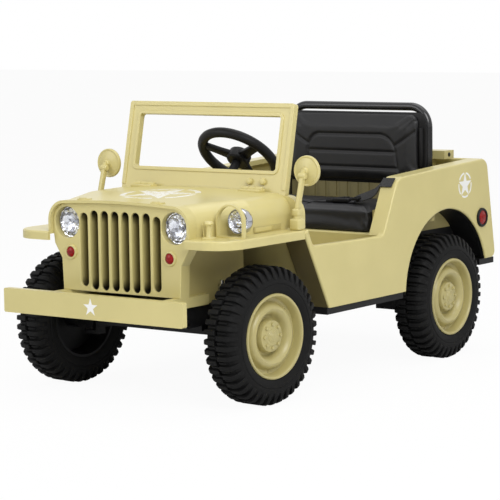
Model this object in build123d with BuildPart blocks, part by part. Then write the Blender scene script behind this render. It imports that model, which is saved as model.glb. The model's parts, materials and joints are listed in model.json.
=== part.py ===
"""Child's electric ride-on toy in the shape of an open army 4x4, millimetres, front at -Y, +Z up."""

import os
from math import atan2, cos, degrees, radians, sin, sqrt

from build123d import *

os.makedirs("parts", exist_ok=True)

# Wheels
axle_front_y = -345.0
axle_rear_y = 365.0
wheel_x = 265.0
tyre_r = 147.0
tyre_w = 84.0
crown_w = 62.0
shoulder_drop = 30.0
lug_count = 40
lug_w = 9.5
lug_depth = 7.0
rim_r = 87.0
rim_w = 70.0
rim_lip = 4.0
bulge_r = 43.0
hub_r = 37.0
hub_reach = 35.0
stub_r = 8.0
stub_reach = 20.0
running_gap = 0.05

# Steering: the front wheels stand a little turned to the right
steer_rest = -5.0
kingpin_x = 205.0
kingpin_r = 6.0
fork_gap = 50.0
fork_t = 8.0
steer_arm = 60.0
link_drop = 15.0
link_t = 7.0
link_pin_r = 4.0
link_eye_r = 9.0
wheel_tilt = 48.0
helm = (9.0, -75.0, 496.0)
helm_r = 91.5
helm_tube = 9.5
helm_hub_r = 26.0
helm_hub_t = 28.0
spoke_w = 20.0
spoke_t = 10.0
column_r = 10.0
column_pin_r = 6.0

# Pan: its top is the deck that the body's heights are measured from
axle_to_deck = 33.0
pan_t = 16.0
deck = tyre_r + axle_to_deck
pan_low = deck - pan_t
pan_front = -455.0
tub_half = 148.0
tub_top = deck + 30.0
tub_rear = -190.0
riser_half = 190.0
riser_len = 46.0
tail_plate_t = 14.0
tail_plate_len = 68.0
pan_wall_top = deck + 118.0

# Frame horns and bumper
horn_in = 140.0
horn_out = 160.0
horn_low = tub_top
horn_top = deck + 52.0
horn_rear = -392.0
bumper_y = -590.0
bumper_t = 15.0
bumper_half = 243.0
bumper_low = deck + 9.0
bumper_high = deck + 61.0
hook_x = 150.0
hook_w = 10.0
hook_r = 9.0

# Body shell: places are (y, z)
body_x = 293.0
wall = 14.0
inner_x = body_x - wall
door_low = (-134.0, deck)
fender_end = (-226.0, deck + 172.0)
cowl_foot = (-212.0, deck + 178.0)
sill_front = (-194.0, deck + 142.0)
sill_rear = (84.0, deck + 137.0)
pillar_top = (146.0, deck + 263.0)
waist = (375.0, deck + 275.0)
tail_top = (549.0, deck + 283.0)
tail_low = (590.0, deck + 39.0)
panel_edge = 4.0
pillar_w = 40.0
pillar_t = 12.0
leg_w = 60.0
leg_t = 11.0
toe_step = 6.0
arch_r = tyre_r + 39.0
arch_z = tyre_r + 21.0
floor_t = 8.0
house_front = 165.0
house_rear = 545.0
house_in = 211.0
house_wall = 7.0
house_top = arch_z + arch_r + 11.0
strut_x = 243.0
strut_r = 12.0
strut_len = 34.0

# Nose
grille_y = -490.0
grille_t = 30.0
grille_back = grille_y + grille_t
hood_front = -499.0
hood_flare_y = -470.0
hood_nose_half = 192.0
hood_top = deck + 250.0
hood_wall = 6.0
hood_gap = 0.2
grille_half = hood_nose_half - hood_wall - hood_gap
grille_waist = 163.0
grille_low = horn_top
grille_top = hood_top - hood_wall - hood_gap
grille_edge = 2.0
slot_count = 8
slot_pitch = 28.4
slot_w = 21.5
slot_low = deck + 56.0
slot_high = deck + 226.5
slot_end_trim = 6.0
slot_edge = 0.9
lamp_x = hood_nose_half - 45.6
lamp_z = hood_top - 52.0
lamp_r = 34.0
lamp_deep = 14.0
marker_x = lamp_x - 11.0
marker_z = lamp_z - 63.0
marker_r = 15.0
wall_rear = -255.0
wall_out = 150.0
wall_t = 8.0
fender_top = deck + 178.0
fender_t = 6.0
fender_lip = 19.0
fender_rim = 7.0
fender_front = -508.0
fender_corner = 62.0
hood_wide_y = -338.0
hood_rear = -230.0
hood_half = 241.0
hood_rise = 6.0
hood_corner = 44.0
crown_drop = 7.0
screen_y = -206.0
dash_rear = -186.0
dash_half = 266.0
dash_corner = 40.0

# Windscreen frame
screen_half = 228.0
screen_base = deck + 248.0
screen_top = deck + 444.0
screen_t = 13.0
screen_lean = 12.0
screen_side = 32.5
screen_low_bar = 52.0
screen_top_bar = 29.0
screen_round = 6.0
ridge_w = 10.0
border_w = 8.0
border_t = 2.5

# Mirrors
mirror_x = 276.0
mirror_y = -192.0
mirror_z = deck + 302.0
mirror_r = 33.0
mirror_t = 5.0
mirror_dome = 8.0
mirror_foot_y = -230.0
mirror_block = 26.0
mirror_stalk = 5.5

# Lamp, its hoop and the catch post on the left fender
spot_x = 254.0
spot_y = -400.0
spot_r = 27.0
spot_len = 34.0
spot_rise = 33.0
spot_stem_r = 7.0
hoop_x = 249.0
hoop_y = -436.0
hoop_half = 35.0
hoop_rise = 2 * hoop_half
hoop_t = 3.5
hoop_w = 11.0
post_x = 219.0
post_y = -466.0
post_r = 6.0
post_rise = 38.0
post_flange_r = 16.0

# Seat, bar and belts
seat_front = 150.0
seat_rear = 412.0
seat_z = deck + 132.0
seat_wall = 8.0
cushion_t = 54.0
cushion_gap = 4.0
cushion_set = 8.0
cushion_corner = 18.0
cushion_edge = 12.0
back_half = 191.0
back_t = 22.0
back_corner = 26.0
back_edge = 10.0
back_low = deck + 224.0
back_high = deck + 403.0
shell_t = 8.0
rib_t = 9.0
rib_pitch = 32.0
rib_count = 11
rib_w = 20.0
rib_rise = 3.0
bar_x = 200.0
bar_top = deck + 410.0
bar_r = 10.0
bar_bend = 48.0
bar_y = seat_rear + shell_t + bar_r
rail_y = 501.0
rail_half = 215.0
rail_w = 44.0
rail_t = 20.0
rail_top = deck + 302.0
rail_post_x = 160.0
rail_post_w = 22.0
battery_size = (152.0, 100.0, 100.0)
battery_y = 290.0
belt_w = 30.0
belt_t = 2.5
belt_gap = 0.4
buckle_size = (46.0, 30.0, 12.0)
buckle_x = 150.0
buckle_y = 232.0

# Lamps on the sides of the tail
tail_lamp_y = tail_low[0] - 69.0
tail_lamp_z = tail_low[1] + 102.0
tail_lamp_r = 23.0
tail_lamp_t = 6.0

sides = (("left", 1), ("right", -1))


def save(shape, label):
    shape.label = label
    export_step(shape, f"parts/{label}.step")


def cap_rise(radius, rise, at):
    """Height of a round cap of this radius and rise, at a distance from its middle."""
    ball = (radius * radius + rise * rise) / (2 * rise)
    return sqrt(ball * ball - at * at) - ball + rise


# Black pan: a tub between the front wheels, wide under the cabin, walled between the rear wheels
# Columns: y at the front, y at the rear, half width
pan_steps = (
    (pan_front, door_low[0] + 2, tub_half),
    (door_low[0], house_front + 10, body_x - panel_edge - 3),
    (house_front, tail_low[0] - panel_edge, house_in),
)
with BuildPart() as chassis_pan:
    with BuildSketch(Plane.XY.offset(pan_low)):
        for front, rear, half in pan_steps:
            with Locations((0, (front + rear) / 2)):
                Rectangle(2 * half, rear - front)
    extrude(amount=pan_t)
    with BuildSketch(Plane.XY.offset(deck)):
        with Locations((0, (pan_front + tub_rear) / 2)):
            Rectangle(2 * tub_half, tub_rear - pan_front)
    extrude(amount=tub_top - deck)
    with BuildSketch(Plane.XY.offset(deck)):
        with Locations((0, tail_low[0] - panel_edge - riser_len / 2)):
            Rectangle(2 * riser_half, riser_len)
    extrude(amount=tail_low[1] - deck)
    with BuildSketch(Plane.XY.offset(tail_low[1])):
        with Locations((0, tail_low[0] - panel_edge - tail_plate_len / 2)):
            Rectangle(2 * (body_x - panel_edge), tail_plate_len)
    extrude(amount=-tail_plate_t)
    with BuildSketch(Plane.XY.offset(pan_low)):
        for name, side in sides:
            with Locations((side * (house_in + house_wall / 2), (house_front + house_rear) / 2)):
                Rectangle(house_wall, house_rear - house_front)
    extrude(amount=pan_wall_top - pan_low)
    for name, side in sides:
        with BuildSketch(Plane.YZ.offset(side * hook_x - hook_w / 2)):
            with Locations((pan_front, pan_low + hook_r)):
                Circle(hook_r)
                Circle(hook_r / 2, mode=Mode.SUBTRACT)
        extrude(amount=hook_w)
save(chassis_pan.part, "chassis_pan")

floor_front = door_low[0] + leg_t + toe_step
with BuildPart() as cabin_floor:
    with BuildSketch(Plane.XY.offset(deck)):
        with Locations((0, (floor_front + seat_front) / 2)):
            Rectangle(2 * inner_x, seat_front - floor_front)
    extrude(amount=floor_t)
save(cabin_floor.part, "cabin_floor")

# Toe board, set a step behind the side panels' slanted front legs
with BuildPart() as toe_board:
    with BuildSketch(Plane.YZ.offset(-body_x + leg_w)):
        with BuildLine():
            Polyline(
                (door_low[0] + toe_step, deck),
                (door_low[0] + toe_step + leg_t, deck),
                (fender_end[0] + toe_step + leg_t, fender_top),
                (fender_end[0] + toe_step, fender_end[1]),
                close=True,
            )
        make_face()
    extrude(amount=2 * (body_x - leg_w))
save(toe_board.part, "toe_board")

# Side panels: door cut-out, sloping pillar, round arch, and flanges turned in at pillar and leg
# Columns: y, z, corner radius
side_corners = (
    (*door_low, 0),
    (axle_rear_y, deck, 0),
    (axle_rear_y, tail_low[1], 0),
    (*tail_low, 16),
    (*tail_top, 26),
    (*waist, 0),
    (*pillar_top, 44),
    (*sill_rear, 18),
    (*sill_front, 14),
    (*cowl_foot, 0),
    (*fender_end, 0),
)
tail_slope = (tail_top[1] - waist[1]) / (tail_top[0] - waist[0])
flange_end = tail_top[0] - wall - pillar_t
flange_z = waist[1] + tail_slope * (flange_end - waist[0])
flange_corners = (
    (*sill_rear, 0),
    (*pillar_top, 44),
    (*waist, 0),
    (flange_end, flange_z, 0),
    (flange_end, flange_z - pillar_t, 0),
    (waist[0], waist[1] - pillar_t, 0),
    (pillar_top[0] + pillar_t * 0.7, pillar_top[1] - pillar_t, 34),
    (sill_rear[0] + pillar_t, sill_rear[1], 0),
)
for name, side in sides:
    with BuildPart() as side_panel:
        with BuildSketch(Plane.YZ.offset(side * inner_x)):
            with BuildLine():
                points = [(y, z) for y, z, radius in side_corners]
                FilletPolyline(*points, radius=[radius for y, z, radius in side_corners], close=True)
            make_face()
            with Locations((axle_rear_y, arch_z)):
                Circle(arch_r, mode=Mode.SUBTRACT)
        extrude(amount=side * wall)
        outer = side_panel.faces().sort_by(Axis.X)[-1 if side > 0 else 0]
        fillet(outer.edges().filter_by(lambda e: e.center().Z > deck + 1), panel_edge)
        with BuildSketch(Plane.YZ.offset(side * inner_x)):
            with BuildLine():
                points = [(y, z) for y, z, radius in flange_corners]
                FilletPolyline(*points, radius=[radius for y, z, radius in flange_corners], close=True)
            make_face()
        extrude(amount=-side * (pillar_w - wall))
        with BuildSketch(Plane.YZ.offset(side * inner_x)):
            with BuildLine():
                Polyline(
                    door_low,
                    (door_low[0] + leg_t, deck),
                    (fender_end[0] + leg_t, fender_end[1]),
                    fender_end,
                    close=True,
                )
            make_face()
        extrude(amount=-side * (leg_w - wall))
    save(side_panel.part, f"side_{name}")

# Tail panel, raked like the side panels' rear edge
tail_rake = (tail_low[0] - tail_top[0]) / (tail_top[1] - tail_low[1])
tail_trim = 2.0
with BuildPart() as tail_panel:
    with BuildSketch(Plane.YZ.offset(-inner_x)):
        with BuildLine():
            high_y = tail_top[0] + tail_rake * tail_trim
            Polyline(
                tail_low,
                (tail_low[0] - wall, tail_low[1]),
                (high_y - wall, tail_top[1] - tail_trim),
                (high_y, tail_top[1] - tail_trim),
                close=True,
            )
        make_face()
    extrude(amount=2 * inner_x)
    fillet(tail_panel.edges().filter_by(Axis.X).sort_by(Axis.Z)[-2:], panel_edge)
save(tail_panel.part, "tail_panel")

# Wheel houses: upper wall and roof over each rear wheel, with the strut's socket under the roof
for name, side in sides:
    with BuildPart() as house:
        with BuildSketch(Plane.XZ.offset(-house_front)):
            with BuildLine():
                Polyline(
                    (side * house_in, pan_wall_top),
                    (side * (house_in + house_wall), pan_wall_top),
                    (side * (house_in + house_wall), house_top - house_wall),
                    (side * inner_x, house_top - house_wall),
                    (side * inner_x, house_top),
                    (side * house_in, house_top),
                    close=True,
                )
            make_face()
        extrude(amount=house_front - house_rear)
        with BuildSketch(Plane.XY.offset(house_top - house_wall)):
            with Locations((side * strut_x, axle_rear_y)):
                Circle(strut_r)
        extrude(amount=-strut_len)
    save(house.part, f"wheelhouse_{name}")

with BuildPart() as cargo_floor:
    cargo_front = seat_rear + rib_t
    cargo_rear = house_rear - wall
    with BuildSketch(Plane.XY.offset(seat_z)):
        with Locations((0, (cargo_front + cargo_rear) / 2)):
            Rectangle(2 * house_in, cargo_rear - cargo_front)
    extrude(amount=floor_t)
save(cargo_floor.part, "cargo_floor")

# Seat base: a wall across the cabin, and the shelf under the cushion
with BuildPart() as seat_base:
    with BuildSketch(Plane.XY.offset(deck)):
        with Locations((0, (seat_front + house_front) / 2)):
            Rectangle(2 * inner_x, house_front - seat_front)
    extrude(amount=seat_z - deck)
    with BuildSketch(Plane.XY.offset(seat_z - seat_wall)):
        with Locations((0, (house_front + cargo_front) / 2)):
            Rectangle(2 * house_in, cargo_front - house_front)
    extrude(amount=seat_wall)
    fillet(seat_base.edges().filter_by(Axis.X).group_by(Axis.Y)[0].sort_by(Axis.Z)[-1], seat_wall / 2)
save(seat_base.part, "seat_base")

with BuildPart() as battery:
    with Locations((0, battery_y, deck)):
        Box(*battery_size, align=(Align.CENTER, Align.CENTER, Align.MIN))
save(battery.part, "battery")

# Ribbed panel between cushion and back
rib_half = bar_x - bar_r - 2
with BuildPart() as rib_panel:
    with BuildSketch(Plane.XZ.offset(-seat_rear)):
        with Locations((0, (seat_z + back_low) / 2)):
            Rectangle(2 * rib_half, back_low - seat_z)
    extrude(amount=-rib_t)
    with BuildSketch(Plane.XZ.offset(-seat_rear)):
        with Locations((0, (seat_z + cushion_t + back_low) / 2)):
            with GridLocations(rib_pitch, 1, rib_count, 1):
                Rectangle(rib_w, back_low - seat_z - cushion_t)
    extrude(amount=rib_rise)
save(rib_panel.part, "rib_panel")

# Seat cushion, seat back and the shell that carries it
seat_half = house_in - cushion_gap
with BuildPart() as seat_cushion:
    cushion_front = seat_front + cushion_set
    cushion_rear = seat_rear - rib_rise - cushion_gap
    with BuildSketch(Plane.XY.offset(seat_z)):
        with Locations((0, (cushion_front + cushion_rear) / 2)):
            RectangleRounded(2 * seat_half, cushion_rear - cushion_front, cushion_corner)
    extrude(amount=cushion_t)
    fillet(seat_cushion.faces().sort_by(Axis.Z)[-1].edges(), cushion_edge)
save(seat_cushion.part, "seat_cushion")

with BuildPart() as seat_back:
    with BuildSketch(Plane.XZ.offset(-seat_rear)):
        with Locations((0, (back_low + back_high) / 2)):
            RectangleRounded(2 * back_half, back_high - back_low, back_corner)
    extrude(amount=back_t)
    fillet(seat_back.faces().sort_by(Axis.Y)[0].edges(), back_edge)
save(seat_back.part, "seat_back")

shell_half = bar_x + 4
with BuildPart() as back_shell:
    with BuildSketch(Plane.XZ.offset(-seat_rear)):
        with Locations((0, (back_low + back_high) / 2)):
            RectangleRounded(2 * shell_half, back_high - back_low, back_corner + 2)
    extrude(amount=-shell_t)
save(back_shell.part, "back_shell")

# Roll bar: two posts on the cargo floor and a bent top
bar_foot = seat_z + floor_t
with BuildPart() as roll_bar:
    with BuildLine():
        FilletPolyline(
            (-bar_x, bar_y, bar_foot),
            (-bar_x, bar_y, bar_top),
            (bar_x, bar_y, bar_top),
            (bar_x, bar_y, bar_foot),
            radius=bar_bend,
        )
    with BuildSketch(Plane(origin=(-bar_x, bar_y, bar_foot), z_dir=(0, 0, 1))):
        Circle(bar_r)
    sweep()
save(roll_bar.part, "roll_bar")

# Lap belts: a strap from each pillar to a buckle on the cushion
for name, side in sides:
    with BuildPart() as belt:
        strap_z = seat_z + cushion_t + belt_gap
        high = Vector(side * (body_x - pillar_w - belt_gap - belt_t), pillar_top[0] + 62, pillar_top[1] - 14)
        low = Vector(side * buckle_x, buckle_y, strap_z + buckle_size[2] / 2)
        along = (low - high).normalized()
        strap = Plane(origin=high, x_dir=along, z_dir=along.cross(Vector(0, 1, 0)) * side)
        with BuildSketch(strap):
            with Locations(((low - high).length / 2, 0)):
                Rectangle((low - high).length, belt_w)
        extrude(amount=belt_t)
        with Locations((low.X, low.Y, strap_z)):
            Box(*buckle_size, align=(Align.CENTER, Align.CENTER, Align.MIN))
        with BuildSketch(Plane.XY.offset(strap_z)):
            with Locations((side * buckle_x / 2, low.Y)):
                Rectangle(buckle_x, belt_w)
        extrude(amount=belt_t)
    save(belt.part, f"belt_{name}")

with BuildPart() as rear_rail:
    with BuildSketch(Plane.XY.offset(rail_top - rail_t)):
        with Locations((0, rail_y)):
            Rectangle(2 * rail_half, rail_w)
    extrude(amount=rail_t)
    with BuildSketch(Plane.XY.offset(seat_z + floor_t)):
        with Locations((-rail_post_x, rail_y), (rail_post_x, rail_y)):
            Rectangle(rail_post_w, rail_post_w)
    extrude(amount=rail_top - rail_t - seat_z - floor_t)
save(rear_rail.part, "rear_rail")

# Frame horns carry the bumper
with BuildPart() as frame_rails:
    with BuildSketch(Plane.XY.offset(horn_low)):
        for name, side in sides:
            with Locations((side * (horn_in + horn_out) / 2, (bumper_y + bumper_t + horn_rear) / 2)):
                Rectangle(horn_out - horn_in, horn_rear - bumper_y - bumper_t)
    extrude(amount=horn_top - horn_low)
save(frame_rails.part, "frame_rails")

with BuildPart() as bumper:
    with BuildSketch(Plane.XZ.offset(-bumper_y)):
        with Locations((0, (bumper_low + bumper_high) / 2)):
            Rectangle(2 * bumper_half, bumper_high - bumper_low)
    extrude(amount=-bumper_t)
    fillet(bumper.edges().filter_by(Axis.Y), 4)
save(bumper.part, "bumper")

# Grille panel, set back inside the hood's front edge: a row of deep slots and a round well for each lamp
with BuildPart() as grille:
    with BuildSketch(Plane.XZ.offset(-grille_y)):
        with BuildLine():
            right = (
                (grille_waist - 3, grille_low),
                (grille_waist, lamp_z - 78),
                (grille_half - 3, lamp_z - 46),
                (grille_half, fender_top),
                (grille_half, grille_top - crown_drop),
            )
            left = [(-x, z) for x, z in right]
            Polyline(*reversed(left), *right)
            ThreePointArc(right[-1], (0, grille_top), left[-1])
        make_face()
        levels = vertices().group_by(Axis.Y)
        fillet(levels[-1], hood_corner - hood_wall)
        fillet(levels[1], 12)
    extrude(amount=-grille_t)
    fillet(grille.faces().sort_by(Axis.Y)[0].edges(), grille_edge)
    with BuildSketch(Plane.XZ.offset(-grille_y)):
        for i in range(slot_count):
            trim = slot_end_trim if i in (0, slot_count - 1) else 0
            high, low = slot_high - trim, slot_low + trim
            with Locations(((i - (slot_count - 1) / 2) * slot_pitch, (low + high) / 2)):
                SlotOverall(high - low, slot_w, rotation=90)
        with Locations((-lamp_x, lamp_z), (lamp_x, lamp_z)):
            Circle(lamp_r)
    extrude(amount=-grille_t, mode=Mode.SUBTRACT)
    face = grille.faces().sort_by(Axis.Y)[0]
    chamfer(face.inner_wires().edges(), slot_edge)
save(grille.part, "grille")

# Dark plate closing the slots and carrying the lamps
with BuildPart() as grille_plate:
    with BuildSketch(Plane.XZ.offset(-grille_back)):
        with Locations((0, (grille_low + grille_top - 20) / 2)):
            Rectangle(2 * (wall_out - wall_t), grille_top - 20 - grille_low)
    extrude(amount=-5)
save(grille_plate.part, "grille_plate")

# Headlamps: a bright bowl with a domed lens, sunk in the grille
for name, side in sides:
    with BuildPart() as headlamp:
        seat = Plane(origin=(side * lamp_x, grille_back, lamp_z), x_dir=(1, 0, 0), z_dir=(0, 0, 1))
        rim_at = lamp_deep - grille_t
        with BuildSketch(seat):
            with BuildLine():
                Polyline(
                    (0, rim_at - 3),
                    (0, 0),
                    (lamp_r - 0.2, 0),
                    (lamp_r - 0.2, rim_at),
                    (lamp_r - 3, rim_at - 2),
                    (lamp_r - 5, rim_at),
                )
                lens_mid = rim_at - cap_rise(lamp_r - 5, 3, lamp_r / 2)
                ThreePointArc((lamp_r - 5, rim_at), (lamp_r / 2, lens_mid), (0, rim_at - 3))
            make_face()
        revolve(axis=Axis(seat.origin, (0, 1, 0)))
    save(headlamp.part, f"headlamp_{name}")

# Small round lamps below the headlamps
with BuildPart() as marker_lamps:
    for name, side in sides:
        seat = Plane(origin=(side * marker_x, grille_y, marker_z), x_dir=(1, 0, 0), z_dir=(0, 0, 1))
        with BuildSketch(seat):
            with BuildLine():
                lens_r = marker_r - 4
                lens_mid = -3 - cap_rise(lens_r, 4, lens_r / 2)
                Polyline((0, -7), (0, 0), (marker_r, 0), (marker_r, -3), (marker_r - 3, -4), (lens_r, -3))
                ThreePointArc((lens_r, -3), (lens_r / 2, lens_mid), (0, -7))
            make_face()
        revolve(axis=Axis(seat.origin, (0, 1, 0)))
save(marker_lamps.part, "marker_lamps")

# Inner walls of the front wheel houses
with BuildPart() as nose_walls:
    with BuildSketch(Plane.XY.offset(horn_top)):
        for name, side in sides:
            with Locations((side * (wall_out - wall_t / 2), (grille_back + wall_rear) / 2)):
                Rectangle(wall_t, wall_rear - grille_back)
    extrude(amount=fender_top - fender_t - horn_top)
    with BuildSketch(Plane.XY.offset(tub_top)):
        for name, side in sides:
            with Locations((side * (wall_out - wall_t / 2), (horn_rear + wall_rear) / 2)):
                Rectangle(wall_t, wall_rear - horn_rear)
    extrude(amount=horn_top - tub_top)
save(nose_walls.part, "nose_walls")

# Fenders: flat top with a turned-down lip round the front and outer edges
fender_in = wall_out - wall_t
for name, side in sides:
    with BuildPart() as fender:
        with BuildSketch(Plane.XY.offset(fender_top)):
            with BuildLine():
                Polyline(
                    (side * grille_half, fender_front),
                    (side * body_x, fender_front),
                    (side * body_x, fender_end[0]),
                    (side * fender_in, fender_end[0]),
                    (side * fender_in, grille_back),
                    (side * grille_half, grille_back),
                    close=True,
                )
            make_face()
        extrude(amount=-fender_lip)
        corner = fender.edges().filter_by(Axis.Z).sort_by(lambda e: e.center().Y - side * e.center().X)[0]
        fillet(corner, fender_corner)
        top = fender.faces().sort_by(Axis.Z)[-1]
        rim = top.edges().filter_by(lambda e: side * e.center().X > grille_half + 1)
        fillet(rim.filter_by(lambda e: e.center().Y < fender_end[0] - 1), panel_edge)
        with BuildSketch(Plane.XY.offset(fender_top - fender_lip)):
            with BuildLine():
                Polyline(
                    (side * fender_in, fender_front + fender_rim),
                    (side * (body_x - fender_rim), fender_front + fender_rim),
                    (side * (body_x - fender_rim), fender_end[0]),
                    (side * fender_in, fender_end[0]),
                    close=True,
                )
            make_face()
            inner_corner = vertices().sort_by(lambda v: v.Y - side * v.X)[0]
            fillet(inner_corner, fender_corner - fender_rim)
        extrude(amount=fender_lip - fender_t, mode=Mode.SUBTRACT)
    save(fender.part, f"fender_{name}")

# Hood shell: a straight edge round the grille, then widening to full width, with rounded shoulders
# Columns: y, half width, height of the crown
hood_sections = (
    (hood_front, hood_nose_half, hood_top),
    (hood_flare_y, hood_nose_half, hood_top),
    (hood_wide_y, hood_half, hood_top + hood_rise),
    (hood_rear, hood_half + 2, hood_top + hood_rise + 2),
)
with BuildPart() as hood:
    for inset, mode in ((0, Mode.ADD), (hood_wall, Mode.SUBTRACT)):
        for at, half, crown in hood_sections:
            with BuildSketch(Plane.XZ.offset(-at)):
                with BuildLine():
                    side_x = half - inset
                    edge_z = crown - crown_drop - inset
                    Polyline((-side_x, edge_z), (-side_x, fender_top), (side_x, fender_top), (side_x, edge_z))
                    ThreePointArc((-side_x, edge_z), (0, crown - inset), (side_x, edge_z))
                make_face()
                fillet(vertices().group_by(Axis.Y)[-1], hood_corner - inset)
        loft(ruled=True, mode=mode)
save(hood.part, "hood")

# Cowl: the hood's end section carried on to the screen, and the dash behind it
cowl_half = hood_half + 2
cowl_top = hood_top + hood_rise + 2
with BuildPart() as cowl:
    with BuildSketch(Plane.XZ.offset(-hood_rear)):
        with BuildLine():
            edge_z = cowl_top - crown_drop
            Polyline(
                (-cowl_half, edge_z),
                (-cowl_half, fender_top),
                (cowl_half, fender_top),
                (cowl_half, edge_z),
            )
            ThreePointArc((-cowl_half, edge_z), (0, cowl_top), (cowl_half, edge_z))
        make_face()
        fillet(vertices().group_by(Axis.Y)[-1], hood_corner)
    extrude(amount=hood_rear - screen_y)
    with BuildSketch(Plane.XZ.offset(-screen_y)):
        with Locations((0, (fender_top + screen_base) / 2)):
            Rectangle(2 * dash_half, screen_base - fender_top)
        fillet(vertices().group_by(Axis.Y)[-1], dash_corner)
    extrude(amount=screen_y - dash_rear)
save(cowl.part, "cowl")

# Windscreen frame, open, leaning back, with raised borders round its edge and round the opening
screen = Plane(
    origin=(0, screen_y, screen_base),
    x_dir=(1, 0, 0),
    z_dir=(0, -cos(radians(screen_lean)), sin(radians(screen_lean))),
)
screen_h = (screen_top - screen_base) / cos(radians(screen_lean))
open_w = 2 * (screen_half - screen_side)
open_h = screen_h - screen_low_bar - screen_top_bar
open_round = min(screen_round, 0.3 * open_h)
with BuildPart() as windscreen:
    with BuildSketch(screen):
        with Locations((0, (screen_h - screen_t) / 2)):
            Rectangle(2 * screen_half, screen_h + screen_t)
        fillet(vertices().group_by(Axis.Y)[-1], screen_round)
        with Locations((0, screen_low_bar + open_h / 2)):
            RectangleRounded(open_w, open_h, open_round, mode=Mode.SUBTRACT)
    extrude(amount=-screen_t)
    with BuildSketch(screen):
        with Locations((0, (screen_h + ridge_w) / 2)):
            Rectangle(2 * screen_half, screen_h - ridge_w)
        fillet(vertices().group_by(Axis.Y)[-1], screen_round)
        with Locations((0, (screen_h - ridge_w) / 2)):
            Rectangle(2 * (screen_half - ridge_w), screen_h - ridge_w, mode=Mode.SUBTRACT)
    extrude(amount=border_t)
    with BuildSketch(screen):
        with Locations((0, screen_low_bar + open_h / 2)):
            RectangleRounded(open_w + 2 * border_w, open_h + 2 * border_w, open_round + border_w)
            RectangleRounded(open_w, open_h, open_round, mode=Mode.SUBTRACT)
    extrude(amount=border_t)
    raised = windscreen.edges().group_by(Axis(screen.origin, screen.z_dir))[-1]
    chamfer(raised.filter_by(lambda e: abs(e.center().X) < screen_half + 1), border_t / 3)
    split(bisect_by=Plane.XY.offset(screen_base), keep=Keep.TOP)
save(windscreen.part, "windscreen")

# Steering column and wheel
helm_axis = Vector(0, cos(radians(wheel_tilt)), sin(radians(wheel_tilt)))
column_len = (helm[1] - dash_rear) / cos(radians(wheel_tilt))
column_foot = Vector(*helm) - helm_axis * column_len
with BuildPart() as column:
    foot = Plane(origin=column_foot - helm_axis * 2 * column_r, x_dir=(1, 0, 0), z_dir=helm_axis)
    with BuildSketch(foot):
        Circle(column_r)
    extrude(amount=column_len + 2 * column_r - helm_hub_t / 2 - 2)
    with BuildSketch(foot):
        Circle(column_pin_r)
    extrude(amount=column_len + 2 * column_r + 2)
    split(bisect_by=Plane(origin=(0, dash_rear, 0), z_dir=(0, 1, 0)), keep=Keep.TOP)
save(column.part, "column")

with BuildPart() as steering_wheel:
    helm_plane = Plane(origin=helm, x_dir=(1, 0, 0), z_dir=helm_axis)
    with Locations(helm_plane):
        Torus(helm_r, helm_tube)
        Cylinder(helm_hub_r, helm_hub_t)
    with BuildSketch(helm_plane.offset(-spoke_t * 0.7)):
        with PolarLocations(helm_r / 2, 3, start_angle=90):
            Rectangle(helm_r, spoke_w)
    extrude(amount=spoke_t)
    with BuildSketch(helm_plane.offset(-helm_hub_t / 2)):
        Circle(column_pin_r + running_gap)
    extrude(amount=helm_hub_t * 0.7, mode=Mode.SUBTRACT)
save(steering_wheel.part, "steering_wheel")

# Front axle beam, with a fork at each end for the kingpin and a block up to the pan
beam_w = 24.0
beam_t = 20.0
fork_x = kingpin_x - 19
with BuildPart() as front_axle:
    with Locations((0, axle_front_y, tyre_r)):
        Box(2 * fork_x, beam_w, beam_t)
    for name, side in sides:
        with Locations((side * (fork_x - fork_t / 2), axle_front_y, tyre_r)):
            Box(fork_t, beam_w, fork_gap + 2 * fork_t)
        with BuildSketch(Plane.XY.offset(tyre_r - fork_gap / 2 - fork_t)):
            with Locations((side * (fork_x - fork_t + kingpin_x + 12) / 2, axle_front_y)):
                Rectangle(kingpin_x + 12 - fork_x + fork_t, beam_w)
        extrude(amount=fork_t)
        with BuildSketch(Plane.XY.offset(tyre_r + fork_gap / 2)):
            with Locations((side * (fork_x - fork_t + kingpin_x + 12) / 2, axle_front_y)):
                Rectangle(kingpin_x + 12 - fork_x + fork_t, beam_w)
        extrude(amount=fork_t)
        with BuildSketch(Plane.XY.offset(tyre_r)):
            with Locations((side * tub_half * 0.75, axle_front_y)):
                Rectangle(30, 60)
        extrude(amount=pan_low - tyre_r)
        with Locations((side * kingpin_x, axle_front_y, tyre_r)):
            Cylinder(kingpin_r + running_gap, fork_gap + 4 * fork_t, mode=Mode.SUBTRACT)
save(front_axle.part, "front_axle")

link_z = tyre_r - link_drop


def steered(shape, side):
    """The shape turned about its side's kingpin by the angle at which the front wheels stand."""
    pin = Location((side * kingpin_x, axle_front_y, 0))
    return shape.moved(pin * Location((0, 0, 0), (0, 0, steer_rest)) * pin.inverse())


for name, side in sides:
    with BuildPart() as knuckle:
        with Locations((side * kingpin_x, axle_front_y, tyre_r)):
            Box(22, 22, fork_gap - 4)
            Cylinder(kingpin_r, fork_gap + 2 * fork_t)
        with BuildSketch(Plane.YZ.offset(side * kingpin_x)):
            with Locations((axle_front_y, tyre_r)):
                Circle(stub_r)
        extrude(amount=side * (wheel_x + stub_reach - kingpin_x))
        with BuildSketch(Plane.XY.offset(link_z - fork_t)):
            with Locations((side * kingpin_x, axle_front_y + steer_arm / 2)):
                Rectangle(14, steer_arm)
            with Locations((side * kingpin_x, axle_front_y + steer_arm)):
                Circle(link_eye_r)
        extrude(amount=fork_t)
        with BuildSketch(Plane.XY.offset(link_z)):
            with Locations((side * kingpin_x, axle_front_y + steer_arm)):
                Circle(link_pin_r)
        extrude(amount=link_t + 2)
    save(steered(knuckle.part, side), f"knuckle_{name}")

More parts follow.
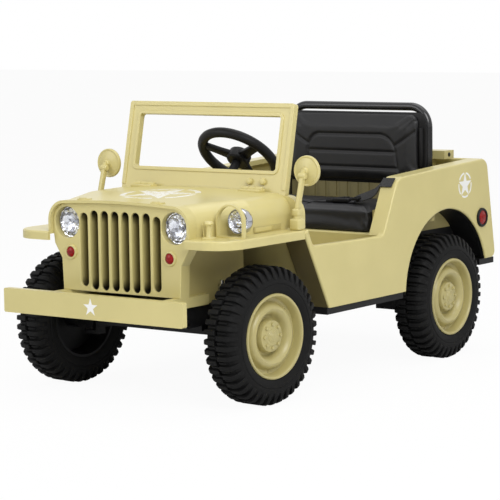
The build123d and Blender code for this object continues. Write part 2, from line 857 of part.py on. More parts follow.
with BuildPart() as tie_rod:
    with BuildSketch(Plane.XY.offset(link_z + 0.5)):
        with Locations((0, axle_front_y + steer_arm)):
            Rectangle(2 * kingpin_x, 10)
            with Locations((-kingpin_x, 0), (kingpin_x, 0)):
                Circle(link_eye_r)
                Circle(link_pin_r + running_gap, mode=Mode.SUBTRACT)
    extrude(amount=link_t)
swing = radians(steer_rest)
swung = Location((-steer_arm * sin(swing), steer_arm * (cos(swing) - 1), 0))
save(tie_rod.part.moved(swung), "tie_rod")

# Rear axle in its sleeve, with a drive gearbox on each side
gearbox_x = 150.0
gearbox_low = tyre_r - 35.0
with BuildPart() as rear_axle:
    with BuildSketch(Plane.YZ.offset(-wheel_x - stub_reach)):
        with Locations((axle_rear_y, tyre_r)):
            Circle(stub_r)
    extrude(amount=2 * (wheel_x + stub_reach))
    with BuildSketch(Plane.YZ.offset(-kingpin_x)):
        with Locations((axle_rear_y, tyre_r)):
            Circle(1.75 * stub_r)
    extrude(amount=2 * kingpin_x)
    with BuildSketch(Plane.XY.offset(gearbox_low)):
        with Locations((-gearbox_x, axle_rear_y), (gearbox_x, axle_rear_y)):
            Rectangle(60, 96)
    extrude(amount=pan_low - gearbox_low)
save(rear_axle.part, "rear_axle")

# Front dampers, from the axle beam up the inner walls
damper_r = 9.0
damper_top = deck + 77.0
with BuildPart() as dampers:
    with BuildSketch(Plane.XY.offset(tyre_r + beam_t / 2)):
        for name, side in sides:
            with Locations((side * (wall_out + damper_r + 0.5), axle_front_y)):
                Circle(damper_r)
    extrude(amount=damper_top - tyre_r - beam_t / 2)
save(dampers.part, "dampers")

# Tyre with its axis on X: lug bars cut to the crowned tread's outline, a carcass and hollow sidewalls
tread_half = tyre_w / 2
crown_half = crown_w / 2
shoulder_r = tyre_r - shoulder_drop
carcass_r = tyre_r - lug_depth
carcass_half = crown_half - 2
bead_x = rim_w / 2 - 1.4
# Columns: radius at the start, start and end along the axle, radius at the end, mode
tread_steps = (
    (tyre_r, 0, crown_half, tyre_r, Mode.ADD),
    (tyre_r, crown_half, tread_half, shoulder_r, Mode.ADD),
)
carcass_steps = (
    (carcass_r, 0, carcass_half, carcass_r, Mode.ADD),
    (carcass_r, carcass_half, tread_half, shoulder_r, Mode.ADD),
    (shoulder_r, tread_half, bead_x, rim_r, Mode.SUBTRACT),
    (rim_r, 0, tread_half, rim_r, Mode.SUBTRACT),
)
with BuildPart() as tyre:
    for steps in (tread_steps, carcass_steps):
        for radius, start, end, end_radius, mode in steps:
            with BuildSketch(Plane.YZ.offset(start)):
                RegularPolygon(radius, lug_count, major_radius=False, rotation=90 + 180 / lug_count)
            slope = degrees(atan2(radius - end_radius, abs(end - start)))
            extrude(amount=end - start, taper=slope, mode=mode)
        if steps is tread_steps:
            with BuildSketch(Plane.YZ):
                with PolarLocations(tyre_r / 2, lug_count, start_angle=90):
                    Rectangle(tyre_r + 10, lug_w)
            extrude(amount=tread_half, mode=Mode.INTERSECT)
    mirror(about=Plane.YZ)

# Rim with its axis on X: rolled lip, gutter, round bulge, sunk ring and stepped hub
lip_x = tread_half - 1
gutter_x = rim_w / 2 - 10
bulge_x = rim_w / 2
disc_x = gutter_x - 8
sleeve_r = 24.0
hub_step = 1.5
with BuildPart() as rim:
    with BuildSketch(Plane.XY):
        with BuildLine():
            Polyline(
                (bulge_r, disc_x),
                (hub_r, disc_x),
                (hub_r - 2, hub_reach - 7),
                (hub_r - 7, hub_reach - 2 * hub_step),
                (22, hub_reach - 2 * hub_step),
                (22, hub_reach - hub_step),
                (14, hub_reach - hub_step),
                (14, hub_reach),
                (0, hub_reach),
                (0, stub_reach + 2),
                (stub_r + running_gap, stub_reach + 2),
                (stub_r + running_gap, -rim_w / 2 + 5),
                (sleeve_r, -rim_w / 2 + 5),
                (sleeve_r, disc_x - 8),
                (rim_r - 8, disc_x - 8),
                (rim_r - 8, -rim_w / 2),
                (rim_r, -rim_w / 2),
                (rim_r, rim_w / 2),
                (rim_r + rim_lip, rim_w / 2),
                (rim_r + rim_lip, lip_x - 2),
                (rim_r + rim_lip - 2, lip_x),
                (rim_r, lip_x),
                (rim_r - 3, lip_x - 3),
                (rim_r - 8, gutter_x),
                (rim_r - 15, gutter_x),
            )
            ThreePointArc((rim_r - 15, gutter_x), (rim_r - 29, bulge_x), (bulge_r, disc_x))
        make_face()
    revolve(axis=Axis.Y)

wheels = (
    ("front_left", 1, axle_front_y),
    ("front_right", -1, axle_front_y),
    ("rear_left", 1, axle_rear_y),
    ("rear_right", -1, axle_rear_y),
)
for name, side, at in wheels:
    turn = 0 if side > 0 else 180
    axle = Location((side * wheel_x, at, tyre_r), (0, 0, turn))
    tyre_set = tyre.part.moved(axle)
    rim_set = rim.part.moved(axle * Location((0, 0, 0), (0, 0, -90)))
    if at == axle_front_y:
        tyre_set, rim_set = steered(tyre_set, side), steered(rim_set, side)
    save(tyre_set, f"tyre_{name}")
    save(rim_set, f"rim_{name}")

# Mirrors: domed discs on stalks from a block at each fender's rear end
with BuildPart() as mirrors:
    for name, side in sides:
        foot = Vector(side * mirror_x, mirror_foot_y, fender_top + mirror_block)
        head = Vector(side * mirror_x, mirror_y, mirror_z)
        with Locations((foot.X, foot.Y, fender_top)):
            Box(mirror_block, mirror_block, mirror_block, align=(Align.CENTER, Align.CENTER, Align.MIN))
        with BuildSketch(Plane(origin=foot - Vector(0, 0, 4), z_dir=head - foot)):
            Circle(mirror_stalk)
        extrude(amount=(head - foot).length)
        with BuildSketch(Plane(origin=head, x_dir=(1, 0, 0), z_dir=(0, 0, 1))):
            with BuildLine():
                Polyline((0, -mirror_dome), (0, mirror_t), (mirror_r, mirror_t), (mirror_r, 0))
                dome_mid = -cap_rise(mirror_r, mirror_dome, mirror_r / 2)
                ThreePointArc((mirror_r, 0), (mirror_r / 2, dome_mid), (0, -mirror_dome))
            make_face()
        revolve(axis=Axis(head, (0, 1, 0)))
save(mirrors.part, "mirrors")

# Round lamp on a stem on the left fender
with BuildPart() as fender_lamp:
    spot = Plane(origin=(spot_x, spot_y, fender_top + spot_rise), x_dir=(1, 0, 0), z_dir=(0, 0, 1))
    with BuildSketch(spot):
        with BuildLine():
            lens = -spot_len * 0.5
            edge = -spot_len * 0.36
            bowl = spot_len * 0.6
            Polyline((0, lens), (spot_r - 3, edge), (spot_r, edge), (spot_r, 0))
            ThreePointArc((spot_r, 0), (spot_r / 2, cap_rise(spot_r, bowl, spot_r / 2)), (0, bowl))
            Line((0, bowl), (0, lens))
        make_face()
    revolve(axis=Axis(spot.origin, (0, 1, 0)))
    with BuildSketch(Plane.XY.offset(fender_top)):
        with Locations((spot_x, spot_y)):
            Circle(spot_stem_r)
    extrude(amount=spot_rise - spot_r + 4)
save(fender_lamp.part, "fender_lamp")

# Flat hoop in front of the lamp
with BuildPart() as lamp_guard:
    with BuildSketch(Plane.XZ.offset(-hoop_y)):
        for inset, mode in ((0, Mode.ADD), (hoop_t, Mode.SUBTRACT)):
            half = hoop_half - inset
            centre_z = fender_top + hoop_rise - hoop_half
            with Locations((hoop_x, centre_z)):
                Circle(half, mode=mode)
            with Locations((hoop_x, (fender_top + inset + centre_z) / 2)):
                Rectangle(2 * half, centre_z - fender_top - inset, mode=mode)
    extrude(amount=-hoop_w)
save(lamp_guard.part, "lamp_guard")

# Hood catch post with a round flange and a mushroom head
with BuildPart() as fender_post:
    with BuildSketch(Plane.XY.offset(fender_top)):
        with Locations((post_x, post_y)):
            Circle(post_flange_r)
    extrude(amount=4)
    with BuildSketch(Plane.XY.offset(fender_top)):
        with Locations((post_x, post_y)):
            Circle(post_r)
    extrude(amount=post_rise)
    with BuildSketch(Plane.XY.offset(fender_top + post_rise - 6)):
        with Locations((post_x, post_y)):
            Circle(post_r + 4)
    extrude(amount=6)
    fillet(fender_post.edges().group_by(Axis.Z)[-1], 3)
save(fender_post.part, "fender_post")

# Tail lamps: flat round housings on the side panels
with BuildPart() as tail_lamps:
    for name, side in sides:
        seat = Plane(origin=(side * body_x, tail_lamp_y, tail_lamp_z), x_dir=(0, 1, 0), z_dir=(0, 0, 1))
        with BuildSketch(seat):
            with BuildLine():
                reach = -side * tail_lamp_t
                Polyline((0, reach), (0, 0), (tail_lamp_r, 0), (tail_lamp_r, reach), (0, reach))
            make_face()
        revolve(axis=Axis(seat.origin, (1, 0, 0)))
save(tail_lamps.part, "tail_lamps")
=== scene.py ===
"""Looks of the ride-on toy 4x4: finishes, tyres, seat, belts, lamps, painted stars and small fittings."""

import json
import math

import bpy
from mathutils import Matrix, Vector


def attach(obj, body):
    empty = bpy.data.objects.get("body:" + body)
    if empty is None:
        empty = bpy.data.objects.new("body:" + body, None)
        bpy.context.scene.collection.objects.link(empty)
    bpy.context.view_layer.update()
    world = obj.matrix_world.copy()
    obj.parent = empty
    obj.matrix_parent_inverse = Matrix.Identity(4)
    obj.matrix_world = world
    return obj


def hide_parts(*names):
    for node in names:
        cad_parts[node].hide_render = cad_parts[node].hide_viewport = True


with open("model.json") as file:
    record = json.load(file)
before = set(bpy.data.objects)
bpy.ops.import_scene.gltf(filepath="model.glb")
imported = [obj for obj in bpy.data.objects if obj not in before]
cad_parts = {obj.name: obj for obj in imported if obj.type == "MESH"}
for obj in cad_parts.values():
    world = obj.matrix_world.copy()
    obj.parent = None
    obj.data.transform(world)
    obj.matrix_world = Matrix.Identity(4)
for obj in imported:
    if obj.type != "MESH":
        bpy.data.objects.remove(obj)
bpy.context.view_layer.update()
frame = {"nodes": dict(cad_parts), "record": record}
nodes = frame["nodes"]
joints = {joint["name"]: joint for joint in frame["record"]["behaviour"]["joints"]}
MM = 0.001
TURN = 2 * math.pi
# Directions on the car: to its left, to its rear, upwards and to its front
ACROSS, BACK, UP, FORWARD = (1, 0, 0), (0, 1, 0), (0, 0, 1), (0, -1, 0)


def reach(name):
    """Lowest and highest corner of a CAD node, in millimetres."""
    corners = [Vector(corner) / MM for corner in nodes[name].bound_box]
    low = Vector([min(corner[i] for corner in corners) for i in range(3)])
    high = Vector([max(corner[i] for corner in corners) for i in range(3)])
    return low, high


# Selection and modelling steps, as done by hand

def let_go():
    if bpy.context.object and bpy.context.object.mode != "OBJECT":
        bpy.ops.object.mode_set(mode="OBJECT")
    bpy.ops.object.select_all(action="DESELECT")


def hold(piece):
    let_go()
    piece.select_set(True)
    bpy.context.view_layer.objects.active = piece
    return piece


def opened(piece):
    """Edit mode with all of the piece selected."""
    hold(piece)
    bpy.ops.object.mode_set(mode="EDIT")
    bpy.ops.mesh.select_all(action="SELECT")


def begin(name):
    """The new primitive, named, with its place and turn moved into its mesh."""
    piece = bpy.context.object
    piece.name = name
    piece.data.name = name
    bpy.ops.object.transform_apply(location=True, rotation=True, scale=True)
    return piece


def block(name, centre, size, soft=0.0, segments=2):
    """A box of this size in millimetres, with its edges rounded off."""
    let_go()
    bpy.ops.mesh.primitive_cube_add(size=MM, location=Vector(centre) * MM)
    bpy.context.object.scale = size
    piece = begin(name)
    if soft:
        opened(piece)
        bpy.ops.mesh.bevel(offset=soft * MM, segments=segments, affect="EDGES")
        bpy.ops.object.mode_set(mode="OBJECT")
    return piece


def drawn_line(name, points):
    """A chain of edges drawn point by point, in millimetres, left open in edit mode."""
    let_go()
    bpy.ops.mesh.primitive_plane_add(size=MM, location=Vector(points[0]) * MM)
    piece = begin(name)
    bpy.ops.object.mode_set(mode="EDIT")
    bpy.ops.mesh.select_mode(type="VERT")
    bpy.ops.mesh.select_all(action="SELECT")
    bpy.ops.mesh.merge(type="CENTER")
    for here, there in zip(points, points[1:]):
        step = (Vector(there) - Vector(here)) * MM
        bpy.ops.mesh.extrude_region_move(TRANSFORM_OT_translate={"value": step})
    bpy.ops.mesh.select_all(action="SELECT")
    return piece


def outward(piece):
    """Doubles merged and every face turned outwards."""
    opened(piece)
    bpy.ops.mesh.remove_doubles(threshold=0.00002)
    bpy.ops.mesh.normals_make_consistent(inside=False)
    bpy.ops.object.mode_set(mode="OBJECT")
    return piece


def spun(name, centre, axis, side, profile, steps):
    """A profile of (distance from the axis, height along it) spun round; side is where it starts."""
    along, across = Vector(axis).normalized(), Vector(side).normalized()
    points = [Vector(centre) + across * r + along * h for r, h in profile]
    piece = drawn_line(name, points)
    bpy.ops.mesh.spin(steps=steps, angle=TURN, center=Vector(centre) * MM, axis=along)
    bpy.ops.object.mode_set(mode="OBJECT")
    return outward(piece)


def slab(name, outline, thick, soft=0.0, segments=2):
    """A closed outline filled and drawn out by a vector, with its rim rounded off."""
    piece = drawn_line(name, [*outline, outline[0]])
    bpy.ops.mesh.remove_doubles(threshold=0.00001)
    bpy.ops.mesh.edge_face_add()
    bpy.ops.mesh.extrude_region_move(TRANSFORM_OT_translate={"value": Vector(thick) * MM})
    bpy.ops.object.mode_set(mode="OBJECT")
    outward(piece)
    if soft:
        hold(piece)
        bevel = piece.modifiers.new("rim", "BEVEL")
        bevel.width = soft * MM
        bevel.segments = segments
        bevel.limit_method = "ANGLE"
        bpy.ops.object.modifier_apply(modifier=bevel.name)
    return piece


def tube(name, points, radius):
    """A round rod bent along points, made as a curve and turned into a mesh."""
    let_go()
    curve = bpy.data.curves.new(name, "CURVE")
    curve.dimensions = "3D"
    curve.bevel_depth = radius * MM
    curve.bevel_resolution = 2
    curve.use_fill_caps = True
    spline = curve.splines.new("NURBS")
    spline.points.add(len(points) - 1)
    for knot, point in zip(spline.points, points):
        knot.co = (*(Vector(point) * MM), 1)
    spline.order_u = 3
    spline.use_endpoint_u = True
    spline.resolution_u = 6
    piece = bpy.data.objects.new(name, curve)
    bpy.context.scene.collection.objects.link(piece)
    hold(piece)
    bpy.ops.object.convert(target="MESH")
    return begin(name)


def joined(name, pieces):
    let_go()
    for piece in pieces:
        piece.select_set(True)
    bpy.context.view_layer.objects.active = pieces[0]
    bpy.ops.object.join()
    return begin(name)


def copied(piece, name, move=(0, 0, 0), turn=0.0, axis="Z"):
    """A copy with its own mesh, turned about the origin and then moved, in millimetres."""
    hold(piece)
    bpy.ops.object.duplicate(linked=False)
    twin = begin(name)
    twin.rotation_euler["XYZ".index(axis)] = turn
    twin.location = Vector(move) * MM
    bpy.ops.object.transform_apply(location=True, rotation=True, scale=False)
    return twin


def mirrored(piece, name):
    """The same piece on the other side of the car."""
    hold(piece)
    bpy.ops.object.duplicate(linked=False)
    twin = begin(name)
    twin.scale.x = -1
    bpy.ops.object.transform_apply(location=False, rotation=False, scale=True)
    return outward(twin)


def fitted(piece, material, slot, body="body", smooth=35.0, replaces=()):
    """Finish, smoothing and body of a finished piece; the slot is not used."""
    hold(piece)
    bpy.ops.object.shade_smooth_by_angle(angle=math.radians(smooth))
    piece.data.materials.clear()
    piece.data.materials.append(material)
    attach(piece, body)
    if replaces:
        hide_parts(*replaces)


def fitted_pair(piece, twin_name, material, slot, replaces=()):
    """A piece on the left and its twin on the right, both finished."""
    fitted(mirrored(piece, twin_name), material, slot, replaces=replaces)
    fitted(piece, material, slot, replaces=replaces)


# Shader groups shared by several finishes

def new_group(name, inputs, outputs):
    """An empty shader group with named number inputs and outputs, and its two end nodes."""
    group = bpy.data.node_groups.new(name, "ShaderNodeTree")
    for label, value in inputs:
        socket = group.interface.new_socket(label, in_out="INPUT", socket_type="NodeSocketFloat")
        socket.default_value = value
    for label in outputs:
        group.interface.new_socket(label, in_out="OUTPUT", socket_type="NodeSocketFloat")
    return group, group.nodes.new("NodeGroupInput"), group.nodes.new("NodeGroupOutput")


def moulded_group():
    """Soft clouding and fine orange peel of a moulded plastic skin."""
    group, given, out = new_group("moulded_skin", [("Cloud", 9.0), ("Peel", 420.0)], ["Cloud", "Peel"])
    place = group.nodes.new("ShaderNodeTexCoord")
    for label, detail in (("Cloud", 3.0), ("Peel", 1.0)):
        noise = group.nodes.new("ShaderNodeTexNoise")
        noise.inputs["Detail"].default_value = detail
        group.links.new(place.outputs["Object"], noise.inputs["Vector"])
        group.links.new(given.outputs[label], noise.inputs["Scale"])
        group.links.new(noise.outputs["Fac"], out.inputs[label])
    return group


def grain_group():
    """Pebbled cells of leather or rubber with fine creases between them."""
    inputs = [("Cells", 600.0), ("Patches", 14.0)]
    group, given, out = new_group("pebble_grain", inputs, ["Height", "Patches"])
    place = group.nodes.new("ShaderNodeTexCoord")
    cells = group.nodes.new("ShaderNodeTexVoronoi")
    cells.feature = "SMOOTH_F1"
    patches = group.nodes.new("ShaderNodeTexNoise")
    patches.inputs["Detail"].default_value = 4.0
    group.links.new(place.outputs["Object"], cells.inputs["Vector"])
    group.links.new(place.outputs["Object"], patches.inputs["Vector"])
    group.links.new(given.outputs["Cells"], cells.inputs["Scale"])
    group.links.new(given.outputs["Patches"], patches.inputs["Scale"])
    group.links.new(cells.outputs["Distance"], out.inputs["Height"])
    group.links.new(patches.outputs["Fac"], out.inputs["Patches"])
    return group


def worked(tree_nodes, links, operation, *values):
    """One step of arithmetic on numbers and sockets."""
    step = tree_nodes.new("ShaderNodeMath")
    step.operation = operation
    for socket, value in zip(step.inputs, values):
        if isinstance(value, (int, float)):
            socket.default_value = value
        else:
            links.new(value, socket)
    return step.outputs[0]


def star_group():
    """Mask of a five-pointed star of radius 1 in a ring that is broken at the star's tips."""
    inputs = [("Across", 0.0), ("Up", 0.0), ("Ring", 0.93), ("Ring Half", 0.07), ("Gap", 0.17)]
    group, given, out = new_group("star_mark", inputs, ["Mask"])

    def step(operation, *values):
        return worked(group.nodes, group.links, operation, *values)

    across, up = given.outputs["Across"], given.outputs["Up"]
    fold = step("PINGPONG", step("ARCTAN2", across, up), math.pi / 5)
    size = step("SQRT", step("ADD", step("MULTIPLY", across, across), step("MULTIPLY", up, up)))
    tip = math.pi / 10
    along = step("MULTIPLY", step("MULTIPLY", size, step("COSINE", fold)), math.sin(tip))
    beside = step("MULTIPLY", step("MULTIPLY", size, step("SINE", fold)), math.cos(tip))
    star = step("LESS_THAN", step("ADD", along, beside), math.sin(tip))
    band = step("COMPARE", size, given.outputs["Ring"], given.outputs["Ring Half"])
    ring = step("MULTIPLY", band, step("GREATER_THAN", fold, given.outputs["Gap"]))
    group.links.new(step("MAXIMUM", star, ring), out.inputs["Mask"])
    return group


moulded_skin = moulded_group()
pebble_grain = grain_group()
star_mark = star_group()


# Tones of paint and shade, and the star's ring as a share of its radius
star_white = (0.86, 0.86, 0.83)
slot_shade = (0.23, 0.19, 0.066)
slot_end_shade = (0.012, 0.010, 0.006)
arch_black = (0.01, 0.01, 0.01)
leg_shade = (0.12, 0.095, 0.032)
ring_at = 0.93
no_ring = 99.0


def new_finish(name):
    """A node material with its Principled shader."""
    material = bpy.data.materials.new(name)
    material.use_nodes = True
    tree = material.node_tree
    return material, tree.nodes, tree.links, tree.nodes["Principled BSDF"]


def using(tree_nodes, group):
    """A shader group placed in a finish."""
    node = tree_nodes.new("ShaderNodeGroup")
    node.node_tree = group
    return node


def ramp(tree_nodes, links, source, low, high, socket, span=(0.3, 0.7)):
    """A value between two grey levels or colours, fed to a socket."""
    colours = tree_nodes.new("ShaderNodeValToRGB")
    for stop, place, tone in zip(colours.color_ramp.elements, span, (low, high)):
        stop.position = place
        stop.color = (*tone, 1) if isinstance(tone, tuple) else (tone, tone, tone, 1)
    links.new(source, colours.inputs["Fac"])
    links.new(colours.outputs["Color"], socket)


def bumped(tree_nodes, links, height, shader, strength, distance):
    bump = tree_nodes.new("ShaderNodeBump")
    bump.inputs["Strength"].default_value = strength
    bump.inputs["Distance"].default_value = distance * MM
    links.new(height, bump.inputs["Height"])
    links.new(bump.outputs["Normal"], shader.inputs["Normal"])


def plastic(name, low, high, rough, coat=0.0, gloss=0.5):
    """Moulded plastic: two near tones, a little uneven gloss and orange peel."""
    material, tree, links, shader = new_finish(name)
    skin = using(tree, moulded_skin)
    ramp(tree, links, skin.outputs["Cloud"], low, high, shader.inputs["Base Color"])
    ramp(tree, links, skin.outputs["Cloud"], rough - 0.015, rough + 0.015, shader.inputs["Roughness"])
    bumped(tree, links, skin.outputs["Peel"], shader, strength=0.12, distance=0.4)
    shader.inputs["Coat Weight"].default_value = coat
    shader.inputs["Coat Roughness"].default_value = 0.15
    shader.inputs["Specular IOR Level"].default_value = gloss
    return material


def starred(name, centre, across, up, facing, face_at, radius, ring=ring_at, worn=0.0):
    """Khaki plastic with a white star painted on one face, about a centre in millimetres."""
    material = plastic(name, *khaki_tones, khaki_rough)
    tree, links = material.node_tree.nodes, material.node_tree.links
    place = tree.new("ShaderNodeTexCoord")
    start = place.outputs["Object"]
    if facing[0]:
        # Both sides of the car carry the mark, so X counts from the middle outwards
        folded = tree.new("ShaderNodeVectorMath")
        folded.operation = "ABSOLUTE"
        links.new(start, folded.inputs[0])
        start = folded.outputs[0]

    def measured(direction):
        shadow = tree.new("ShaderNodeVectorMath")
        shadow.operation = "DOT_PRODUCT"
        links.new(start, shadow.inputs[0])
        shadow.inputs[1].default_value = direction
        return shadow.outputs["Value"]

    mark = using(tree, star_mark)
    mark.inputs["Ring"].default_value = ring
    for label, direction in (("Across", across), ("Up", up)):
        middle = Vector(centre).dot(Vector(direction)) * MM
        offset = worked(tree, links, "SUBTRACT", measured(direction), middle)
        links.new(worked(tree, links, "DIVIDE", offset, radius * MM), mark.inputs[label])
    on_face = worked(tree, links, "GREATER_THAN", measured(facing), face_at * MM)
    mask = worked(tree, links, "MULTIPLY", mark.outputs["Mask"], on_face)
    if worn:
        flaking = tree.new("ShaderNodeTexNoise")
        flaking.inputs["Scale"].default_value = 150.0
        flaking.inputs["Detail"].default_value = 6.0
        links.new(place.outputs["Object"], flaking.inputs["Vector"])
        left = worked(tree, links, "GREATER_THAN", flaking.outputs["Fac"], worn)
        mask = worked(tree, links, "MULTIPLY", mask, left)
    return repainted(material, mask, star_white)


def repainted(material, mask, tone):
    """A tone laid over a finish where a mask says."""
    tree, links = material.node_tree.nodes, material.node_tree.links
    shader = tree["Principled BSDF"]
    mix = tree.new("ShaderNodeMix")
    mix.data_type = "RGBA"
    links.new(mask, mix.inputs["Factor"])
    links.new(shader.inputs["Base Color"].links[0].from_socket, mix.inputs["A"])
    mix.inputs["B"].default_value = (*tone, 1)
    links.new(mix.outputs["Result"], shader.inputs["Base Color"])
    return material


def placed(material):
    """Steps of arithmetic in a finish, and the place along X, Y and Z on the car."""
    tree, links = material.node_tree.nodes, material.node_tree.links
    place = tree.new("ShaderNodeTexCoord")
    parts = tree.new("ShaderNodeSeparateXYZ")
    links.new(place.outputs["Object"], parts.inputs[0])

    def step(operation, *values):
        return worked(tree, links, operation, *values)

    return step, parts.outputs["X"], parts.outputs["Y"], parts.outputs["Z"]


def sunk(name, front, back, ends, slots_half, wells_low, wells_half):
    """Khaki plastic with painted shade that darkens it from a front face back into slots and wells, most
    near the slots' ends.
    """
    end_starts, end_fade, face_depth = 26, 20, 4
    material = plastic(name, *khaki_tones, khaki_rough)
    step, x, y, z = placed(material)
    off_middle = step("ABSOLUTE", x)
    in_slots = step("LESS_THAN", off_middle, slots_half * MM)
    beside = step("LESS_THAN", off_middle, wells_half * MM)
    in_wells = step("MULTIPLY", beside, step("GREATER_THAN", z, wells_low * MM))
    inside = step("MAXIMUM", in_slots, in_wells)
    depth = step("DIVIDE", step("SUBTRACT", y, front * MM), (back - front) * MM)
    depth = step("MULTIPLY", step("MINIMUM", step("MAXIMUM", depth, 0.0), 1.0), inside)
    repainted(material, depth, slot_shade)
    middle, half = (ends[0] + ends[1]) / 2, (ends[1] - ends[0]) / 2
    off_centre = step("ABSOLUTE", step("SUBTRACT", z, middle * MM))
    to_end = step("SUBTRACT", off_centre, (half - end_starts) * MM)
    end = step("MINIMUM", step("MAXIMUM", step("DIVIDE", to_end, end_fade * MM), 0.0), 1.0)
    behind = step("GREATER_THAN", y, (front + face_depth) * MM)
    mask = step("MULTIPLY", step("MULTIPLY", end, in_slots), behind)
    return repainted(material, mask, slot_end_shade)


def lined(material, centre_y, centre_z, radius, half):
    """A finish whose round wheel arch is black inside the outer skin."""
    step, x, y, z = placed(material)
    along, up = step("SUBTRACT", y, centre_y * MM), step("SUBTRACT", z, centre_z * MM)
    away_from = step("SQRT", step("ADD", step("MULTIPLY", along, along), step("MULTIPLY", up, up)))
    in_arch = step("LESS_THAN", away_from, radius * MM)
    within = step("LESS_THAN", step("ABSOLUTE", x), half * MM)
    return repainted(material, step("MULTIPLY", in_arch, within), arch_black)


def shaded_leg(material, low, high, half):
    """A finish with deep shade painted on the slanted leg's front face, from a low to a high (y, z) on it.
    """
    skin = 3
    step, x, y, z = placed(material)
    slope = (high[0] - low[0]) / (high[1] - low[1])
    face = step("ADD", step("MULTIPLY", z, slope), (low[0] - slope * low[1] + skin) * MM)
    front = step("LESS_THAN", y, face)
    within = step("LESS_THAN", step("ABSOLUTE", x), half * MM)
    return repainted(material, step("MULTIPLY", front, within), leg_shade)


def pebbled(name, low, high, rough, cells, depth, gloss=0.5):
    """Leather or rubber: grain bump with tone and gloss that shift from patch to patch."""
    material, tree, links, shader = new_finish(name)
    grain = using(tree, pebble_grain)
    grain.inputs["Cells"].default_value = cells
    ramp(tree, links, grain.outputs["Patches"], low, high, shader.inputs["Base Color"])
    ramp(tree, links, grain.outputs["Patches"], rough - 0.05, rough + 0.08, shader.inputs["Roughness"])
    bumped(tree, links, grain.outputs["Height"], shader, depth, distance=0.6)
    shader.inputs["Specular IOR Level"].default_value = gloss
    return material


def bright(name, tone, rough):
    """Plated metal with faint smears in its gloss."""
    material, tree, links, shader = new_finish(name)
    skin = using(tree, moulded_skin)
    shader.inputs["Base Color"].default_value = (*tone, 1)
    shader.inputs["Metallic"].default_value = 1.0
    ramp(tree, links, skin.outputs["Cloud"], rough, rough + 0.05, shader.inputs["Roughness"])
    return material


def faceted(name, dark, light):
    """Plated lamp bowl whose small pressed cells have a painted reflection, dark and light from cell to
    cell.
    """
    material = bright(name, light, 0.08)
    tree, links = material.node_tree.nodes, material.node_tree.links
    place = tree.new("ShaderNodeTexCoord")
    cells = tree.new("ShaderNodeTexVoronoi")
    cells.inputs["Scale"].default_value = 130.0
    links.new(place.outputs["Object"], cells.inputs["Vector"])
    shader = tree["Principled BSDF"]
    ramp(tree, links, cells.outputs["Color"], dark, light, shader.inputs["Base Color"], (0.25, 0.6))
    bumped(tree, links, cells.outputs["Distance"], shader, strength=0.6, distance=2.0)
    return material


def clear(name, tone, rough):
    """Clear moulded lens."""
    material, tree, links, shader = new_finish(name)
    shader.inputs["Base Color"].default_value = (*tone, 1)
    shader.inputs["Transmission Weight"].default_value = 1.0
    shader.inputs["IOR"].default_value = 1.45
    skin = using(tree, moulded_skin)
    ramp(tree, links, skin.outputs["Cloud"], rough, rough + 0.03, shader.inputs["Roughness"])
    return material


def lens_red(name):
    """Red lens with small moulded cells."""
    material, tree, links, shader = new_finish(name)
    grain = using(tree, pebble_grain)
    grain.inputs["Cells"].default_value = 260.0
    light, dark = (0.30, 0.003, 0.003), (0.17, 0.002, 0.002)
    ramp(tree, links, grain.outputs["Height"], light, dark, shader.inputs["Base Color"])
    ramp(tree, links, grain.outputs["Patches"], 0.1, 0.18, shader.inputs["Roughness"])
    bumped(tree, links, grain.outputs["Height"], shader, strength=0.15, distance=0.5)
    shader.inputs["Specular IOR Level"].default_value = 0.22
    shader.inputs["Coat Weight"].default_value = 0.12
    return material


def woven(name, tone, pitch):
    """Belt webbing: two crossed sets of threads."""
    material, tree, links, shader = new_finish(name)
    place = tree.new("ShaderNodeTexCoord")
    crossing = tree.new("ShaderNodeMath")
    crossing.operation = "MULTIPLY"
    for socket, direction in zip(crossing.inputs, ("X", "Y")):
        wave = tree.new("ShaderNodeTexWave")
        wave.bands_direction = direction
        wave.inputs["Scale"].default_value = 1 / pitch
        links.new(place.outputs["Object"], wave.inputs["Vector"])
        links.new(wave.outputs["Fac"], socket)
    light = tuple(2.2 * share for share in tone)
    ramp(tree, links, crossing.outputs[0], tone, light, shader.inputs["Base Color"], (0.0, 1.0))
    bumped(tree, links, crossing.outputs[0], shader, strength=0.5, distance=0.5)
    shader.inputs["Roughness"].default_value = 0.75
    return material


khaki_tones = (0.60, 0.525, 0.222), (0.64, 0.56, 0.242)
khaki_rough = 0.3
khaki = plastic("khaki_plastic", *khaki_tones, khaki_rough)
# Khaki with painted shade, for the toe board, wheel houses, nose walls and the hood vent's tray
khaki_shade = plastic("khaki_painted_shade", (0.46, 0.39, 0.155), (0.50, 0.43, 0.175), 0.5)
# Khaki with a deeper painted shade, for the rib panel behind the seat
khaki_painted_deep_shade = plastic("khaki_behind_seat_painted_shade", (0.17, 0.145, 0.06), (0.20, 0.17, 0.07), 0.55)

# Grille: depth of the shade behind its face, and where slots and lamp wells lie, in millimetres
grille_front = reach("grille")[0].y
slot_ends = (236, 406.5)
slots_half = 112
wells_low = 338
wells_half = 181.5
khaki_grille = sunk(
    "khaki_grille", grille_front + 1.5, grille_front + 24, slot_ends, slots_half, wells_low, wells_half
)

# Stars: bumper without a ring, hood worn, body sides on both sides of the car
bumper_low, bumper_high = reach("bumper")
bumper_middle = (0, 0, (bumper_low.z + bumper_high.z) / 2)
bumper_khaki = starred(
    "khaki_bumper", bumper_middle, ACROSS, UP, FORWARD, -bumper_low.y - 1, 20, ring=no_ring
)
hood_star_y = -350
hood_skin_low = 431.5
hood_khaki = starred(
    "khaki_hood", (0, hood_star_y, 0), ACROSS, BACK, UP, hood_skin_low, 88, worn=0.42
)
side_star = (0, 443.7, 405)
side_skin = reach("side_left")[1].x
side_khaki = starred("khaki_side", side_star, BACK, UP, ACROSS, side_skin - 2, 30.5)
